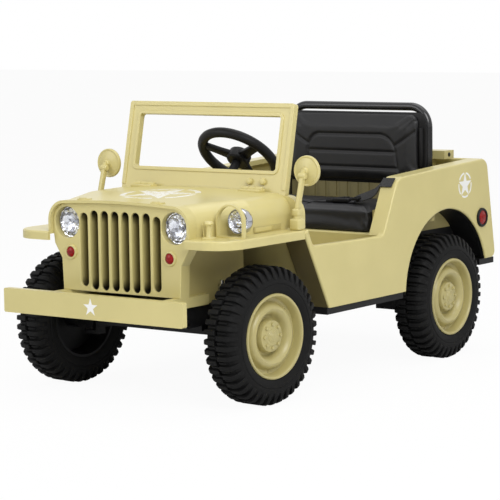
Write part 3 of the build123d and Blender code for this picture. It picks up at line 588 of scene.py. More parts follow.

# Side panels: round rear arch black inside the skin, and painted shade on the slanted front leg inside the
# skin
side_inside = side_skin - 5.5
arch_y = joints["roll_rear_left"]["pos_m"][1] / MM
arch_z = 168
arch_radius = 188
leg_foot = (-134, 180)
leg_top = (-226, 352)
lined(side_khaki, arch_y, arch_z, arch_radius - 0.5, side_inside)
shaded_leg(side_khaki, leg_foot, leg_top, side_inside)

rim_khaki = plastic("khaki_rim", (0.43, 0.375, 0.155), (0.47, 0.41, 0.175), 0.32)
black_gloss = plastic(
    "black_gloss", (0.007, 0.007, 0.008), (0.011, 0.011, 0.012), 0.22, coat=0.25, gloss=0.4
)
black_satin = plastic("black_satin", (0.006, 0.006, 0.006), (0.010, 0.010, 0.011), 0.45, gloss=0.2)
leather = pebbled(
    "black_leather", (0.012, 0.012, 0.013), (0.017, 0.017, 0.018), 0.45, cells=520.0, depth=0.22, gloss=0.3
)
rubber = pebbled(
    "tyre_rubber", (0.004, 0.004, 0.004), (0.007, 0.007, 0.007), 0.62, cells=900.0, depth=0.12, gloss=0.14
)
reflector = faceted("lamp_reflector", (0.22, 0.22, 0.24), (0.92, 0.93, 0.96))
chrome = bright("lamp_chrome", (0.48, 0.49, 0.52), 0.05)
steel = bright("bolt_steel", (0.62, 0.63, 0.64), 0.22)
glass = clear("lamp_glass", (0.97, 0.98, 1.0), 0.02)
red = lens_red("red_lens")
webbing = woven("belt_webbing", (0.010, 0.010, 0.011), 0.0011)
mirror_face = bright("mirror_face", (0.9, 0.91, 0.92), 0.02)

# Finish of each CAD node: its own, or else its slot's
slot_finish = {
    "khaki": khaki, "black": black_satin, "leather": leather, "tyre": rubber,
    "lamp": chrome, "red": red, "webbing": webbing,
}
# Toe board, wheel houses and nose walls take khaki with painted shade, the rib panel a deeper painted
# shade, and the grille painted shade in its slots and wells
node_finish = {
    "roll_bar": black_gloss, "steering_wheel": black_gloss, "toe_board": khaki_shade,
    "wheelhouse_left": khaki_shade, "wheelhouse_right": khaki_shade,
    "bumper": bumper_khaki, "hood": hood_khaki, "grille": khaki_grille, "nose_walls": khaki_shade,
    "side_left": side_khaki, "side_right": side_khaki, "rib_panel": khaki_painted_deep_shade,
}
for row in frame["record"]["subparts"]:
    node = nodes[row["node"]]
    node.data.materials.clear()
    node.data.materials.append(node_finish.get(row["node"], slot_finish[row["material_slot"]]))


# Modelling steps that only some pieces need

def ring_of(piece, count):
    """The piece repeated round an axle on X through the origin."""
    opened(piece)
    bpy.ops.mesh.spin(
        steps=count - 1, dupli=True, angle=TURN * (count - 1) / count, center=(0, 0, 0), axis=ACROSS
    )
    bpy.ops.object.mode_set(mode="OBJECT")
    return piece


def dropped(piece):
    """A pattern piece taken away once its copies are made."""
    hold(piece)
    bpy.ops.object.delete()


def marked(piece, wanted):
    """Edit mode with only the points chosen that a test on their place, in millimetres, wants."""
    hold(piece)
    bpy.ops.object.mode_set(mode="EDIT")
    bpy.ops.mesh.select_mode(type="VERT")
    bpy.ops.mesh.select_all(action="DESELECT")
    bpy.ops.object.mode_set(mode="OBJECT")
    for point in piece.data.vertices:
        point.select = wanted(point.co / MM)
    bpy.ops.object.mode_set(mode="EDIT")


def pressed(piece, wanted, move, spread):
    """Chosen points moved, with the points around them following over a distance."""
    marked(piece, wanted)
    bpy.ops.transform.translate(
        value=Vector(move) * MM, use_proportional_edit=True,
        proportional_edit_falloff="SMOOTH", proportional_size=spread * MM,
    )
    bpy.ops.object.mode_set(mode="OBJECT")
    return piece


def strap(name, route, width, thick):
    """A flat strap along (place, direction of its width) pairs, bridged between its two edges."""
    edges = []
    for label, share in (("near", -0.5), ("far", 0.5)):
        edge = [Vector(place) + Vector(across).normalized() * width * share for place, across in route]
        edges.append(drawn_line(f"{name}_{label}", edge))
        bpy.ops.object.mode_set(mode="OBJECT")
    piece = joined(name, edges)
    opened(piece)
    bpy.ops.mesh.bridge_edge_loops()
    bpy.ops.object.mode_set(mode="OBJECT")
    body = piece.modifiers.new("thickness", "SOLIDIFY")
    body.thickness = thick * MM
    body.offset = 0.0
    bpy.ops.object.modifier_apply(modifier=body.name)
    return outward(piece)


# Tyres: a spun carcass, two staggered rows of lug bars and low ribs between them

lug_count = 42
lug_wide = 10.0
rib_wide = 5.0
# Columns: radius, distance from the middle
carcass_half = (
    (88, 36), (91, 38), (97, 40.6), (106, 41.9), (108.5, 41.9), (109.5, 40.9), (111, 40.9), (112, 41.7),
    (117.5, 41.5), (124, 38.8), (131, 34.5), (136.5, 28.5), (139.5, 21), (140.5, 3), (137.5, 2),
)
# Columns: distance from the middle, radius
lug_outline = (
    (2.2, 147), (25, 147), (33, 143.4), (38.4, 133.5), (41.2, 121), (40, 119.5), (30, 134), (2.2, 138),
)
rib_outline = ((2.2, 143.5), (17, 143.5), (24, 140.5), (24, 136), (2.2, 136))


def bar_of(name, outline, width):
    """A bar across the tread at the top of the wheel."""
    return slab(name, [(x, -width / 2, r) for x, r in outline], (0, width, 0), soft=0.9, segments=1)


def lugged_tyre():
    carcass = [*carcass_half, *((r, -x) for r, x in reversed(carcass_half)), carcass_half[0]]
    rubber_ring = spun("carcass", (0, 0, 0), ACROSS, UP, carcass, steps=84)
    half_pitch = TURN / lug_count / 2
    lug = bar_of("lug", lug_outline, lug_wide)
    rib = copied(bar_of("rib", rib_outline, rib_wide), "rib_between", turn=half_pitch, axis="X")
    inner_lug = copied(mirrored(lug, "lug_mirror"), "lug_inner", turn=half_pitch, axis="X")
    inner_rib = mirrored(bar_of("rib_mirror", rib_outline, rib_wide), "rib_inner")
    for spare in ("rib", "lug_mirror", "rib_mirror"):
        dropped(bpy.data.objects[spare])
    rows = [ring_of(bar, lug_count) for bar in (lug, rib, inner_lug, inner_rib)]
    return joined("tyre_pattern", [rubber_ring, *rows])


# Rims: rolled lip, gutter, round bulge and a stepped hub with nuts

# Columns: radius, height along the axle
rim_profile = (
    (0, 35), (6, 35), (7, 34.2), (9.5, 34.2), (10.5, 33.2), (13.5, 33.2), (14.5, 32), (19, 32),
    (20.5, 30.8), (29, 30.2), (33, 28.5), (34.6, 25), (35.2, 20), (35.8, 12.6), (38, 11.2), (41, 11.2),
    (43.5, 13), (46, 20), (49, 27.4), (53, 32.8), (58, 35), (63, 33.6), (67, 29), (69.6, 23.6),
    (71.4, 19.4), (73, 18), (78, 18), (80.5, 19), (81.6, 23), (83, 34), (84, 38.4), (85.5, 40.4),
    (87.5, 41), (89.5, 40.4), (90.8, 38.5), (91, 36), (87, 34), (87, 12), (79, 10), (24, 9), (8.05, 9),
    (8.05, 22), (0, 22),
)
barrel_profile = (
    (8.05, 8.8), (8.05, -30), (24, -30), (24, 8), (78, 9), (84, -37), (91, -37), (87, -34), (87, 11.8),
    (79, 9.8), (24, 8.8), (8.05, 8.8),
)
# Places of a nut on the hub and of a bump in the gutter, above the axle
nut_at = (29, 0, 25.5)
bump_at = (17.6, 0, 75.5)
nut_count = 8


def moulded_rim():
    dish = spun("dish", (0, 0, 0), ACROSS, UP, rim_profile, steps=72)
    nut_profile = ((0, 5.2), (2.2, 5.2), (3.9, 4.2), (4.2, 3.4), (4.2, 0), (0, 0))
    nut = spun("nut", nut_at, ACROSS, UP, nut_profile, steps=6)
    bump_profile = ((0, 2.4), (1.8, 2), (3, 0.6), (3.2, 0), (0, 0))
    bump = spun("bump", bump_at, ACROSS, UP, bump_profile, steps=12)
    return joined("rim_pattern", [dish, ring_of(nut, nut_count), ring_of(bump, nut_count)])


def wheels():
    tyre, rim = lugged_tyre(), moulded_rim()
    barrel = spun("barrel_pattern", (0, 0, 0), ACROSS, UP, barrel_profile, steps=56)
    for name, joint in joints.items():
        if not name.startswith("roll_"):
            continue
        place = name.removeprefix("roll_")
        at = Vector(joint["pos_m"]) / MM
        turn = math.atan2(joint["axis"][1], joint["axis"][0])
        if place.endswith("right"):
            turn += math.pi
        for pattern, label, node, finish, slot in (
            (tyre, "tyre", "tyre", rubber, "tyre"),
            (rim, "rim", "rim", rim_khaki, "khaki"),
            (barrel, "barrel", "rim", black_satin, "black"),
        ):
            piece = copied(pattern, f"moulded_{label}_{place}", move=at, turn=turn)
            fitted(piece, finish, slot, f"wheel_{place}", replaces=[f"{node}_{place}"])
    for pattern in (tyre, rim, barrel):
        dropped(pattern)


wheels()


# Padded seat: swollen by air in a cloth simulation, then sewn

def rounded_corners(piece, corner, lean):
    """The four edges of a box that run along one axis rounded off."""
    hold(piece)
    bpy.ops.object.mode_set(mode="EDIT")
    bpy.ops.mesh.select_mode(type="EDGE")
    bpy.ops.mesh.select_all(action="DESELECT")
    bpy.ops.object.mode_set(mode="OBJECT")
    for edge in piece.data.edges:
        a, b = (piece.data.vertices[i].co for i in edge.vertices)
        edge.select = abs((a - b).normalized()[lean]) > 0.9
    bpy.ops.object.mode_set(mode="EDIT")
    bpy.ops.mesh.bevel(offset=corner * MM, segments=6, affect="EDGES")
    bpy.ops.object.mode_set(mode="OBJECT")


def padding(name, low, high, corner, lean):
    """A rounded box of even faces, its corners rounded as seen along the axis that it leans on."""
    piece = block(name, (low + high) / 2, high - low)
    rounded_corners(piece, corner, lean)
    voxels = piece.modifiers.new("even_faces", "REMESH")
    voxels.mode = "VOXEL"
    voxels.voxel_size = 5 * MM
    bpy.ops.object.modifier_apply(modifier=voxels.name)
    return piece


def puffed(piece, held, cap):
    """Blown up by air pressure; held points stay, and no point travels further than the cap."""
    hold(piece)
    before = [point.co.copy() for point in piece.data.vertices]
    pins = piece.vertex_groups.new(name="held")
    pins.add([point.index for point in piece.data.vertices if held(point.co / MM)], 1.0, "REPLACE")
    air = piece.modifiers.new("air", "CLOTH")
    air.settings.use_pressure = True
    air.settings.uniform_pressure_force = 4.0
    air.settings.effector_weights.gravity = 0.0
    air.settings.vertex_group_mass = pins.name
    for step in range(1, 21):
        bpy.context.scene.frame_set(step)
    bpy.ops.object.modifier_apply(modifier=air.name)
    bpy.context.scene.frame_set(1)
    for point, start in zip(piece.data.vertices, before):
        travel = point.co - start
        if travel.length > cap * MM:
            point.co = start + travel.normalized() * cap * MM
    piece.vertex_groups.clear()
    finer = piece.modifiers.new("finer", "SUBSURF")
    finer.levels = 1
    finer.render_levels = 1
    bpy.ops.object.modifier_apply(modifier=finer.name)
    return piece


def away(point, line):
    """Distance from a point to a chain of straight lines, all as (across, up)."""
    here = Vector(point)
    nearest = []
    for start, end in zip(line, line[1:]):
        start, run = Vector(start), Vector(end) - Vector(start)
        share = max(0.0, min(1.0, (here - start).dot(run) / run.length_squared))
        nearest.append((here - start - run * share).length)
    return min(nearest)


# Seat: cap on its swelling and smoothing angle
swell_cap = 7.0
seat_smooth = 80.0


def seat_cushion():
    low, high = reach("seat_cushion")
    mid = (low + high) / 2
    edge = Vector((5, 5, 0))
    swell_room = Vector((0, 0, 5))
    half_seat = 95
    piece = padding("padded_cushion", low + edge, high - edge - swell_room, 20.0, 2)
    for side in (1, -1):
        pressed(
            piece, lambda p: side * p.x > high.x - 10 and abs(p.y - mid.y) < 20,
            (-side * 4, 0, 0), 110,
        )
        pressed(
            piece, lambda p: side * (p.y - mid.y) > mid.y - low.y - 10 and abs(p.x) < 30,
            (0, -side * 4, 0), 150,
        )
        pressed(
            piece,
            lambda p: abs(p.x - side * half_seat) < 30 and p.z > high.z - 12 and abs(p.y - mid.y) < 30,
            (0, 0, 5), 120,
        )
    puffed(piece, lambda p: p.z < low.z + 6, swell_cap)
    pressed(piece, lambda p: abs(p.x) < 1.6 and p.z > mid.z, (0, 0, -4), 9)
    fitted(piece, leather, "leather", smooth=seat_smooth, replaces=["seat_cushion"])
    return piece


# Sewn lines of the seat back as (across, up), in millimetres
back_panel = (
    (-129, 440), (-124, 488), (-121, 500), (-115, 511), (-106, 519), (-95, 523), (89, 523), (102, 519.5),
    (113, 513), (122, 503), (128, 490), (136, 440),
)
back_channels = (
    ((-126, 482), (131, 481)),
    ((-129, 443), (135, 442)),
    ((128, 497), (158, 515), (186, 537)),
    ((-122, 497), (-153, 515), (-186, 537)),
)


seam_depth = 4.5
seam_wide = 3.2


def seat_back():
    low, high = reach("seat_back")
    mid = (low + high) / 2
    piece = padding("padded_back", low + Vector((4, 7, 4)), high - Vector((4, 0, 10)), 24.0, 1)
    for side in (1, -1):
        pressed(
            piece, lambda p: side * p.x > high.x - 10 and abs(p.z - mid.z) < 15,
            (-side * 3, 0, 0), 80,
        )
        pressed(
            piece, lambda p: side * (p.z - mid.z) > mid.z - low.z - 9 and abs(p.x) < 30,
            (0, 0, -side * 3), 150,
        )
    puffed(piece, lambda p: p.y > high.y - 6, swell_cap)
    for point in piece.data.vertices:
        across, deep, up = point.co / MM
        if deep < mid.y:
            nearest = min(away((across, up), line) for line in (back_panel, *back_channels))
            point.co.y += seam_depth * MM * math.exp(-((nearest / seam_wide) ** 2))
    fitted(piece, leather, "leather", smooth=seat_smooth, replaces=["seat_back"])


def back_plate():
    low, high = reach("back_shell")
    high.z -= 6
    plate = block("back_plate", (low + high) / 2, high - low)
    rounded_corners(plate, 26.0, 1)
    opened(plate)
    bpy.ops.mesh.bevel(offset=1.8 * MM, segments=2, affect="EDGES")
    bpy.ops.object.mode_set(mode="OBJECT")
    fitted(plate, black_satin, "black", replaces=["back_shell"])


def clamp_strips():
    low, high = reach("seat_back")
    strip_middle = (low.z + high.z) / 2 + 0.5
    strip = block("clamp_strip", (high.x + 4, high.y - 6, strip_middle), (7, 10, 94), soft=2.5)
    fitted_pair(strip, "clamp_strip_right", black_satin, "black")


cushion = seat_cushion()
seat_back()
back_plate()
clamp_strips()


# Lap belts: strap from each pillar, buckle, adjuster and the lap strap lying on the cushion

def seat_height(x, y):
    """Top of the cushion at a place, in millimetres."""
    found, place, *_ = cushion.ray_cast(Vector((x * MM, y * MM, 1.0)), Vector((0, 0, -1)))
    return place.z / MM if found else reach("seat_cushion")[1].z


belt_wide = 26.0
belt_thick = 2.0
belt_lift = 1.6
# Columns: place, direction of the strap's width, for the left belt, from the pillar down to the cushion
belt_fall = (
    ((283, 141, 432.6), (0, 0.70, 0.72)), ((252, 141, 432.2), (0, 0.70, 0.72)),
    ((246, 147, 427), (0, 0.66, 0.75)), ((220, 176, 413), (0, 0.6, 0.8)),
    ((189, 204, 400), (0, 0.6, 0.8)), ((160, 214, 391), (0, 0.66, 0.75)),
    ((130, 221, 383), (0, 0.8, 0.6)), ((108, 226, 377), (0, 0.96, 0.28)),
)
# Across the car, where the strap lies on the cushion, and the places of its fittings
lap_across = (84, 62, 40, 20, 2)
lap_y = 229
buckle_x = 90
press_x = 92
tongue_x = 58
slide_at = (138, 219, 384)


def lap_belt(name, side):
    lap = []
    for x in lap_across:
        top = seat_height(side * x, lap_y)
        lap.append(((side * x, lap_y, top + belt_lift), BACK))
    fall = [((side * place[0], *place[1:]), across) for place, across in belt_fall]
    band = strap(f"belt_strap_{name}", [*fall, *lap], belt_wide, belt_thick)
    fitted(band, webbing, "webbing", replaces=[f"belt_{name}"])
    rest = lap[0][0][2]
    tongue_rest = seat_height(side * tongue_x, lap_y)
    slide_x, slide_y, slide_z = slide_at
    fittings = [
        block("belt_buckle", (side * buckle_x, lap_y, rest + 4.5), (48, 36, 11), soft=3.5, segments=3),
        block("belt_tongue", (side * tongue_x, lap_y, tongue_rest + 4), (22, 28, 6), soft=1.6),
        block("belt_press", (side * press_x, lap_y, rest + 10), (18, 20, 4), soft=1.4),
        block("belt_slide", (side * slide_x, slide_y, slide_z), (18, 36, 7), soft=2.2),
        block("belt_slide_bar", (side * slide_x, slide_y, slide_z + 4), (5, 32, 4), soft=1.2),
    ]
    fitted(joined(f"belt_fittings_{name}", fittings), black_satin, "black")


for side_name, side in (("left", 1), ("right", -1)):
    lap_belt(side_name, side)


# Lamps

lens_smooth = 60.0
facet_smooth = 12.0


def headlamp(name):
    low, high = reach(f"headlamp_{name}")
    at = ((low.x + high.x) / 2, high.y, (low.z + high.z) / 2)
    bowl_profile = (
        (0, 3), (7, 3), (14, 4.5), (21, 7.5), (27, 11.5), (31, 16), (33, 16.4), (33.8, 15.6), (33.8, 0),
        (0, 0),
    )
    bowl = spun(f"lamp_bowl_{name}", at, FORWARD, ACROSS, bowl_profile, steps=18)
    fitted(bowl, reflector, "lamp", smooth=facet_smooth, replaces=[f"headlamp_{name}"])
    bulb_profile = ((0, 14.5), (2.4, 14), (4, 12.2), (4.4, 9.5), (3.4, 6), (3.4, 2.5), (0, 2.5))
    bulb = spun(f"lamp_bulb_{name}", at, FORWARD, ACROSS, bulb_profile, steps=20)
    fitted(bulb, chrome, "lamp")
    lens_profile = (
        (0, 19), (12, 18.4), (22, 17), (31, 15.4), (31, 14.2), (22, 15.8), (12, 17.2), (0, 17.8),
    )
    lens = spun(f"lamp_lens_{name}", at, FORWARD, ACROSS, lens_profile, steps=40)
    fitted(lens, glass, "lamp", smooth=lens_smooth)


def marker_lamp(name, side):
    low, high = reach("marker_lamps")
    size = high.z - low.z
    at = (side * (high.x - size / 2), high.y, (low.z + high.z) / 2)
    ring_profile = ((16.2, 0), (16.2, 2.2), (15, 4.2), (13, 4.6), (11.6, 3.6), (11.2, 0), (16.2, 0))
    ring = spun(f"marker_ring_{name}", at, FORWARD, ACROSS, ring_profile, steps=40)
    dome_profile = ((0, 7), (3.5, 6.7), (7, 5.7), (9.5, 4.2), (11.3, 2.4), (11.3, 0), (0, 0))
    dome = spun(f"marker_dome_{name}", at, FORWARD, ACROSS, dome_profile, steps=32)
    fitted(ring, khaki, "khaki")
    fitted(dome, red, "red", replaces=["marker_lamps"])


def tail_lamp(name, side):
    low, high = reach("tail_lamps")
    at = (side * (high.x - 6), (low.y + high.y) / 2, (low.z + high.z) / 2)
    ring_profile = ((23, 0), (23, 3.6), (21.6, 5.6), (19, 6), (17.4, 4.8), (17, 0), (23, 0))
    ring = spun(f"tail_ring_{name}", at, (side, 0, 0), BACK, ring_profile, steps=44)
    lens_profile = ((0, 5.8), (8, 5.5), (13, 4.8), (17.2, 3.2), (17.2, 0), (0, 0))
    lens = spun(f"tail_lens_{name}", at, (side, 0, 0), BACK, lens_profile, steps=36)
    fitted(ring, black_satin, "black")
    fitted(lens, red, "red", replaces=["tail_lamps"])


def fender_lamp():
    low, high = reach("fender_lamp")
    lamp_y, lamp_radius = -400, 27
    at = ((low.x + high.x) / 2, lamp_y, high.z - lamp_radius)
    shell_profile = (
        (0, -20.2), (8, -19.4), (15, -16.8), (21, -12), (25, -6), (27, 0), (27, 12), (26.4, 13), (25, 13),
        (24.4, 11.5), (21, 3), (15, -4), (8, -8), (0, -9),
    )
    shell = spun("fender_lamp_shell", at, FORWARD, ACROSS, shell_profile, steps=40)
    fitted(shell, chrome, "lamp", replaces=["fender_lamp"])
    facets_profile = (
        (24.2, 11), (20.5, 3.6), (14.6, -3.2), (8, -7.2), (3, -8.2), (0, -8.2), (0, -8.6), (24.2, 10.4),
    )
    facets = spun("fender_lamp_facets", at, FORWARD, ACROSS, facets_profile, steps=16)
    fitted(facets, reflector, "lamp", smooth=facet_smooth)
    lens_profile = (
        (0, 16.8), (10, 16), (18, 14.2), (24.6, 11.8), (24.6, 10.8), (18, 13), (10, 14.8), (0, 15.6),
    )
    lens = spun("fender_lamp_lens", at, FORWARD, ACROSS, lens_profile, steps=40)
    fitted(lens, glass, "lamp", smooth=lens_smooth)
    stem_profile = ((0, 0), (11, 0), (11, 1.6), (9, 3), (6.5, 4), (6.5, 9), (8, 11), (8, 14), (0, 14))
    stem = spun("fender_lamp_stem", (at[0], at[1], low.z), UP, ACROSS, stem_profile, steps=28)
    fitted(stem, khaki, "khaki")


for side_name, side in (("left", 1), ("right", -1)):
    headlamp(side_name)
    marker_lamp(side_name, side)
    tail_lamp(side_name, side)
fender_lamp()


# Mirrors: domed heads on jointed arms

mirror_radius = 33
mirror_head_y = -192
mirror_foot_y = -230
# Outline of the arm as (along the car, up), in millimetres
mirror_arm = ((-208, 486), (-200, 484), (-205, 462), (-224, 398), (-236, 398), (-216, 466))


def wing_mirror():
    low, high = reach("mirrors")
    head = Vector((high.x - mirror_radius, mirror_head_y, high.z - mirror_radius))
    foot = Vector((head.x, mirror_foot_y, low.z))
    disc_profile = (
        (0, 7.8), (9, 7.2), (18, 5.6), (25, 3.4), (28, 2.5), (29.2, 3.2), (31, 3.4), (32.6, 2), (33, 0),
        (33, -3.4), (31.6, -4.8), (30, -4.8), (29.4, -3.6), (0, -3.6),
    )
    disc = spun("mirror_head", head, FORWARD, ACROSS, disc_profile, steps=56)
    boss_profile = ((0, 13), (6, 13), (7.5, 11.5), (8, 9), (9, 5), (0, 5))
    boss = spun("mirror_boss", head, FORWARD, ACROSS, boss_profile, steps=24)
    arm = slab("mirror_arm", [(head.x - 5, y, z) for y, z in mirror_arm], (10, 0, 0), soft=2.0)
    knuckle_profile = ((0, 9), (5.5, 9), (7, 7.5), (7.6, 0), (7, -7.5), (5.5, -9), (0, -9))
    knuckle_at = (head.x, -209, 472)
    knuckle = spun("mirror_knuckle", knuckle_at, ACROSS, UP, knuckle_profile, steps=20)
    clamp = block("mirror_clamp", (head.x, mirror_foot_y, 396), (18, 18, 16), soft=4.0, segments=3)
    neck_profile = ((0, 22), (9, 22), (8, 27), (7, 34), (0, 34))
    neck = spun("mirror_neck", foot, UP, ACROSS, neck_profile, steps=20)
    base = block("mirror_base", foot + Vector((0, 0, 12.5)), (26, 26, 25), soft=4.5, segments=3)
    piece = joined("mirror_left", [disc, boss, arm, knuckle, clamp, neck, base])
    glass_profile = ((0, -4.4), (28.8, -4.4), (29.3, -4), (29.3, -3.2), (0, -3.2))
    face = spun("mirror_face_left", head, FORWARD, ACROSS, glass_profile, steps=48)
    fitted_pair(piece, "mirror_right", khaki, "khaki", replaces=["mirrors"])
    fitted_pair(face, "mirror_face_right", mirror_face, "lamp")


wing_mirror()


# Dampers: a rod, a coil spring and the nut on top

coil_turns = 7
coil_radius = 7.2
coil_wire = 1.5
knots_a_turn = 12


def dampers():
    low, high = reach("dampers")
    at = Vector((high.x - 9, (low.y + high.y) / 2, low.z))
    tall = high.z - low.z
    rod_profile = (
        (0, 0), (8.6, 0), (8.6, 4), (6, 5), (6, 0.55 * tall), (3.4, 0.57 * tall), (3.4, tall - 13.5),
        (0, tall - 13.5),
    )
    nut_profile = (
        (0, tall - 14), (8, tall - 14), (8.8, tall - 13), (8.8, tall - 9), (5, tall - 8), (5, tall - 1),
        (4, tall), (0, tall),
    )
    rod = spun("damper_rod", at, UP, ACROSS, rod_profile, steps=20)
    nut = spun("damper_nut", at, UP, ACROSS, nut_profile, steps=20)
    knots = []
    for i in range(coil_turns * knots_a_turn + 1):
        angle = i * TURN / knots_a_turn
        rise = 6 + (tall - 21) * i / (coil_turns * knots_a_turn)
        knots.append(at + Vector((coil_radius * math.cos(angle), coil_radius * math.sin(angle), rise)))
    spring = tube("damper_spring", knots, coil_wire)
    fitted_pair(rod, "damper_rod_right", black_satin, "black", replaces=["dampers"])
    fitted_pair(spring, "damper_spring_right", steel, "black")
    fitted_pair(nut, "damper_nut_right", steel, "black")


dampers()


# Small fittings on hood, screen, rail and wheel arches, and the steering wheel

screen_lean = math.radians(12)
screen_out = Vector((0, -math.cos(screen_lean), math.sin(screen_lean)))


def hood_hinge():
    hinge_x, hinge_y, hinge_z, pitch = 150, -222, 437, 19
    parts = [block("hood_hinge", (hinge_x, hinge_y, hinge_z), (58, 24, 7), soft=1.8)]
    roll_profile = ((0, 9), (3.4, 9), (4.2, 8.2), (4.2, -8.2), (3.4, -9), (0, -9))
    for x in (hinge_x - pitch, hinge_x, hinge_x + pitch):
        roll_at = (x, hinge_y + 3, hinge_z + 4.4)
        parts.append(spun("hinge_barrel", roll_at, ACROSS, UP, roll_profile, steps=16))
    fitted_pair(joined("hood_hinge_left", parts), "hood_hinge_right", khaki, "khaki")


def hood_catch():
    catch_x = 100
    pad = block("hood_catch", (catch_x, -484, 428.4), (26, 20, 5), soft=1.5)
    lip = block("hood_catch_lip", (catch_x, -490, 431), (18, 6, 4.4), soft=1.4)
    fitted_pair(joined("hood_catch_left", [pad, lip]), "hood_catch_right", khaki, "khaki")


def hood_vent():
    vent_z = 366
    tray = block("hood_vent", (242.4, -292, vent_z), (2.4, 97, 13), soft=0.9)
    ribs = []
    for y in range(-272, -244, 5):
        ribs.append(block("vent_rib", (243.6, y, vent_z), (1.6, 2.6, 9), soft=0.5, segments=1))
    slot = block("vent_slot_left", (243.2, -308, vent_z), (1.6, 58, 8.5), soft=0.6, segments=1)
    # The vent's tray is khaki with painted shade
    fitted_pair(joined("hood_vent_left", [tray, *ribs]), "hood_vent_right", khaki_shade, "khaki")
    fitted_pair(slot, "vent_slot_right", khaki, "khaki")


def screen_knobs():
    knob_profile = ((0, 8.6), (4.4, 8.6), (6.4, 7.6), (7.4, 5.4), (7.6, 2), (6.2, 0.4), (6.2, -1), (0, -1))
    for label, place in (("inner", (131.5, -200.4, 454.5)), ("outer", (167.1, -200.3, 454.9))):
        knob = spun(f"screen_knob_{label}", place, screen_out, ACROSS, knob_profile, steps=28)
        fitted(knob, khaki, "khaki")


def rail_screws():
    low, high = reach("rear_rail")
    screw_y, screw_z = (low.y + high.y) / 2, high.z - 10
    screw_profile = ((0, 2.6), (2, 2.6), (2.6, 1.4), (4.6, 1.2), (5.4, 0), (5.4, -1), (0, -1))
    for label, side in (("left", 1), ("right", -1)):
        at = (side * high.x, screw_y, screw_z)
        screw = spun(f"rail_screw_{label}", at, (side, 0, 0), UP, screw_profile, steps=20)
        fitted(screw, black_satin, "black")


def catch_post():
    low, high = reach("fender_post")
    x, y = (low.x + high.x) / 2, (low.y + high.y) / 2
    post_profile = (
        (0, 0), (16, 0), (16, 2.6), (14, 4), (7.5, 4.6), (6.2, 7), (5.4, 24), (5.8, 28), (9, 29.6),
        (10, 32.4), (8.4, 35.8), (4.4, 37.6), (0, 38),
    )
    post = spun("catch_post", (x, y, low.z), UP, ACROSS, post_profile, steps=28)
    fitted(post, khaki, "khaki", replaces=["fender_post"])
    # Columns of the loop: distance in from the post, height above its foot
    loop = ((13, 3), (14, 16), (14.5, 28), (11, 36), (3, 36))
    knots = [(x - inward, y, low.z + rise) for inward, rise in loop]
    fitted(tube("post_loop", knots, 1.6), khaki, "khaki")


def helm():
    wheel = joints["steering_wheel_turn"]
    at, along = Vector(wheel["pos_m"]) / MM, Vector(wheel["axis"])
    across, down = Vector(ACROSS), along.cross(Vector(ACROSS))
    grip_r, tube_r, grip_sides = 89.4, 11.4, 14
    grip_profile = []
    for i in range(grip_sides + 1):
        angle = i * TURN / grip_sides
        grip_profile.append((grip_r + tube_r * math.cos(angle), tube_r * math.sin(angle)))
    grip = spun("helm_grip", at, along, across, grip_profile, steps=72)
    hub_profile = (
        (0, 20), (9, 19.4), (16, 17.6), (20, 15), (21.5, 12), (25, 11), (26, 9), (26, -11), (23, -14),
        (6.1, -14), (6.1, 5.6), (0, 5.6),
    )
    hub = spun("helm_hub", at, along, across, hub_profile, steps=40)
    # Columns: distance from the middle, half width
    spoke_outline = ((20, -14), (44, -11), (84, -9.5), (84, 9.5), (44, 11), (20, 14))
    spokes = []
    for angle in (90, 210, 330):
        out = across * math.cos(math.radians(angle)) + down * math.sin(math.radians(angle))
        beside = along.cross(out)
        outline = [at - along * 6 + out * r + beside * w for r, w in spoke_outline]
        spokes.append(slab("helm_spoke", outline, along * 10, soft=2.6))
    piece = joined("helm_wheel", [grip, hub, *spokes])
    fitted(piece, black_satin, "black", "steering_wheel", replaces=["steering_wheel"])


def arch_liner():
    inner_x, wide, thick = 219, 59.5, 2
    arc = [math.radians(angle) for angle in range(17, 80, 6)]
    points = []
    for angle in arc:
        along, up = arch_radius * math.cos(angle), arch_radius * math.sin(angle)
        points.append((inner_x, arch_y + along, arch_z + up))
    piece = drawn_line("arch_liner_left", points)
    bpy.ops.mesh.extrude_region_move(TRANSFORM_OT_translate={"value": Vector((wide, 0, 0)) * MM})
    bpy.ops.object.mode_set(mode="OBJECT")
    wall = piece.modifiers.new("wall", "SOLIDIFY")
    wall.thickness = thick * MM
    bpy.ops.object.modifier_apply(modifier=wall.name)
    outward(piece)
    fitted_pair(piece, "arch_liner_right", black_satin, "black")


hood_hinge()
hood_catch()
hood_vent()
screen_knobs()
rail_screws()
catch_post()
helm()
arch_liner()


# Floor, light and camera

def pale_floor():
    """A floor that shows nearly white to the camera and still takes the car's shadow."""
    white_share = 0.95
    let_go()
    bpy.ops.mesh.primitive_plane_add(size=40, location=(0, 0, 0))
    floor = begin("floor")
    look = bpy.data.materials.new("pale_floor")
    look.use_nodes = True
    tree, links = look.node_tree.nodes, look.node_tree.links
    tree.remove(tree["Principled BSDF"])
    matte = tree.new("ShaderNodeBsdfDiffuse")
    matte.inputs["Color"].default_value = (0.9, 0.9, 0.9, 1)
    glow = tree.new("ShaderNodeEmission")
    seen = tree.new("ShaderNodeLightPath")
    blend = tree.new("ShaderNodeMixShader")
    share = worked(tree, links, "MULTIPLY", seen.outputs["Is Camera Ray"], white_share)
    links.new(share, blend.inputs["Fac"])
    links.new(matte.outputs[0], blend.inputs[1])
    links.new(glow.outputs[0], blend.inputs[2])
    links.new(blend.outputs[0], tree["Material Output"].inputs["Surface"])
    floor.data.materials.append(look)


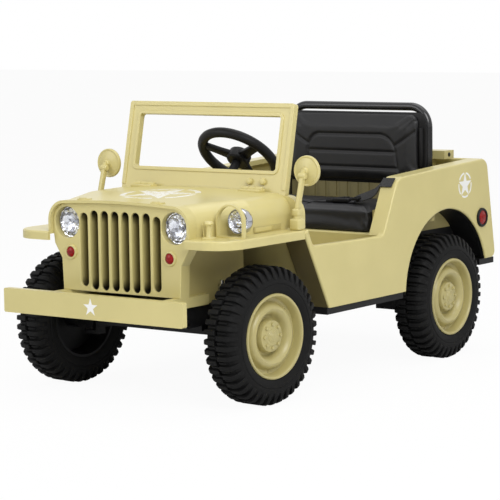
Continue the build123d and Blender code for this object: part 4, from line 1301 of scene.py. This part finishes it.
def studio_world():
    """Soft white light all round, behind which the camera, mirrors and glass see plain white."""
    world = bpy.data.worlds.new("studio")
    bpy.context.scene.world = world
    world.use_nodes = True
    tree, links = world.node_tree.nodes, world.node_tree.links
    soft_light = tree["Background"]
    soft_light.inputs["Color"].default_value = (1, 1, 1, 1)
    soft_light.inputs["Strength"].default_value = 0.34
    backdrop = tree.new("ShaderNodeBackground")
    backdrop.inputs["Color"].default_value = (1, 1, 1, 1)
    seen = tree.new("ShaderNodeLightPath")
    choose = tree.new("ShaderNodeMixShader")
    sees_white = seen.outputs["Is Camera Ray"]
    for ray in ("Is Transmission Ray", "Is Glossy Ray"):
        sees_white = worked(tree, links, "MAXIMUM", sees_white, seen.outputs[ray])
    links.new(sees_white, choose.inputs["Fac"])
    links.new(soft_light.outputs[0], choose.inputs[1])
    links.new(backdrop.outputs[0], choose.inputs[2])
    links.new(choose.outputs[0], tree["World Output"].inputs["Surface"])


pale_floor()
studio_world()

aim = Vector((0.0, 0.0, 0.3))
# Columns: name, place, size, power
softboxes = (
    ("key_softbox", (3.2, -2.2, 3.0), 2.6, 125.0),
    ("front_softbox", (-2.2, -4.0, 2.2), 2.6, 50.0),
    ("top_softbox", (0.2, 0.6, 4.2), 3.5, 66.0),
)
for name, place, size, power in softboxes:
    lamp = bpy.data.lights.new(name, "AREA")
    lamp.size = size
    lamp.energy = power
    holder = bpy.data.objects.new(name, lamp)
    holder.location = place
    holder.rotation_euler = (aim - Vector(place)).to_track_quat("-Z", "Y").to_euler()
    bpy.context.scene.collection.objects.link(holder)

# Camera fitted to the photograph; its roll is in degrees
camera_at = Vector((2.8388, -3.8884, 0.8212))
camera_to = Vector((-0.0182, -0.0013, 0.2762))
camera_roll = -0.813
photo_lens = bpy.data.cameras.new("photo_camera")
photo_lens.lens = 151.551
photo_lens.sensor_width = 36.0
camera = bpy.data.objects.new("photo_camera", photo_lens)
camera.location = camera_at
camera.rotation_euler = (camera_to - camera_at).to_track_quat("-Z", "Y").to_euler()
camera.rotation_euler.rotate_axis("Z", math.radians(camera_roll))
bpy.context.scene.collection.objects.link(camera)
bpy.context.scene.camera = camera
bpy.context.scene.view_settings.view_transform = "Standard"
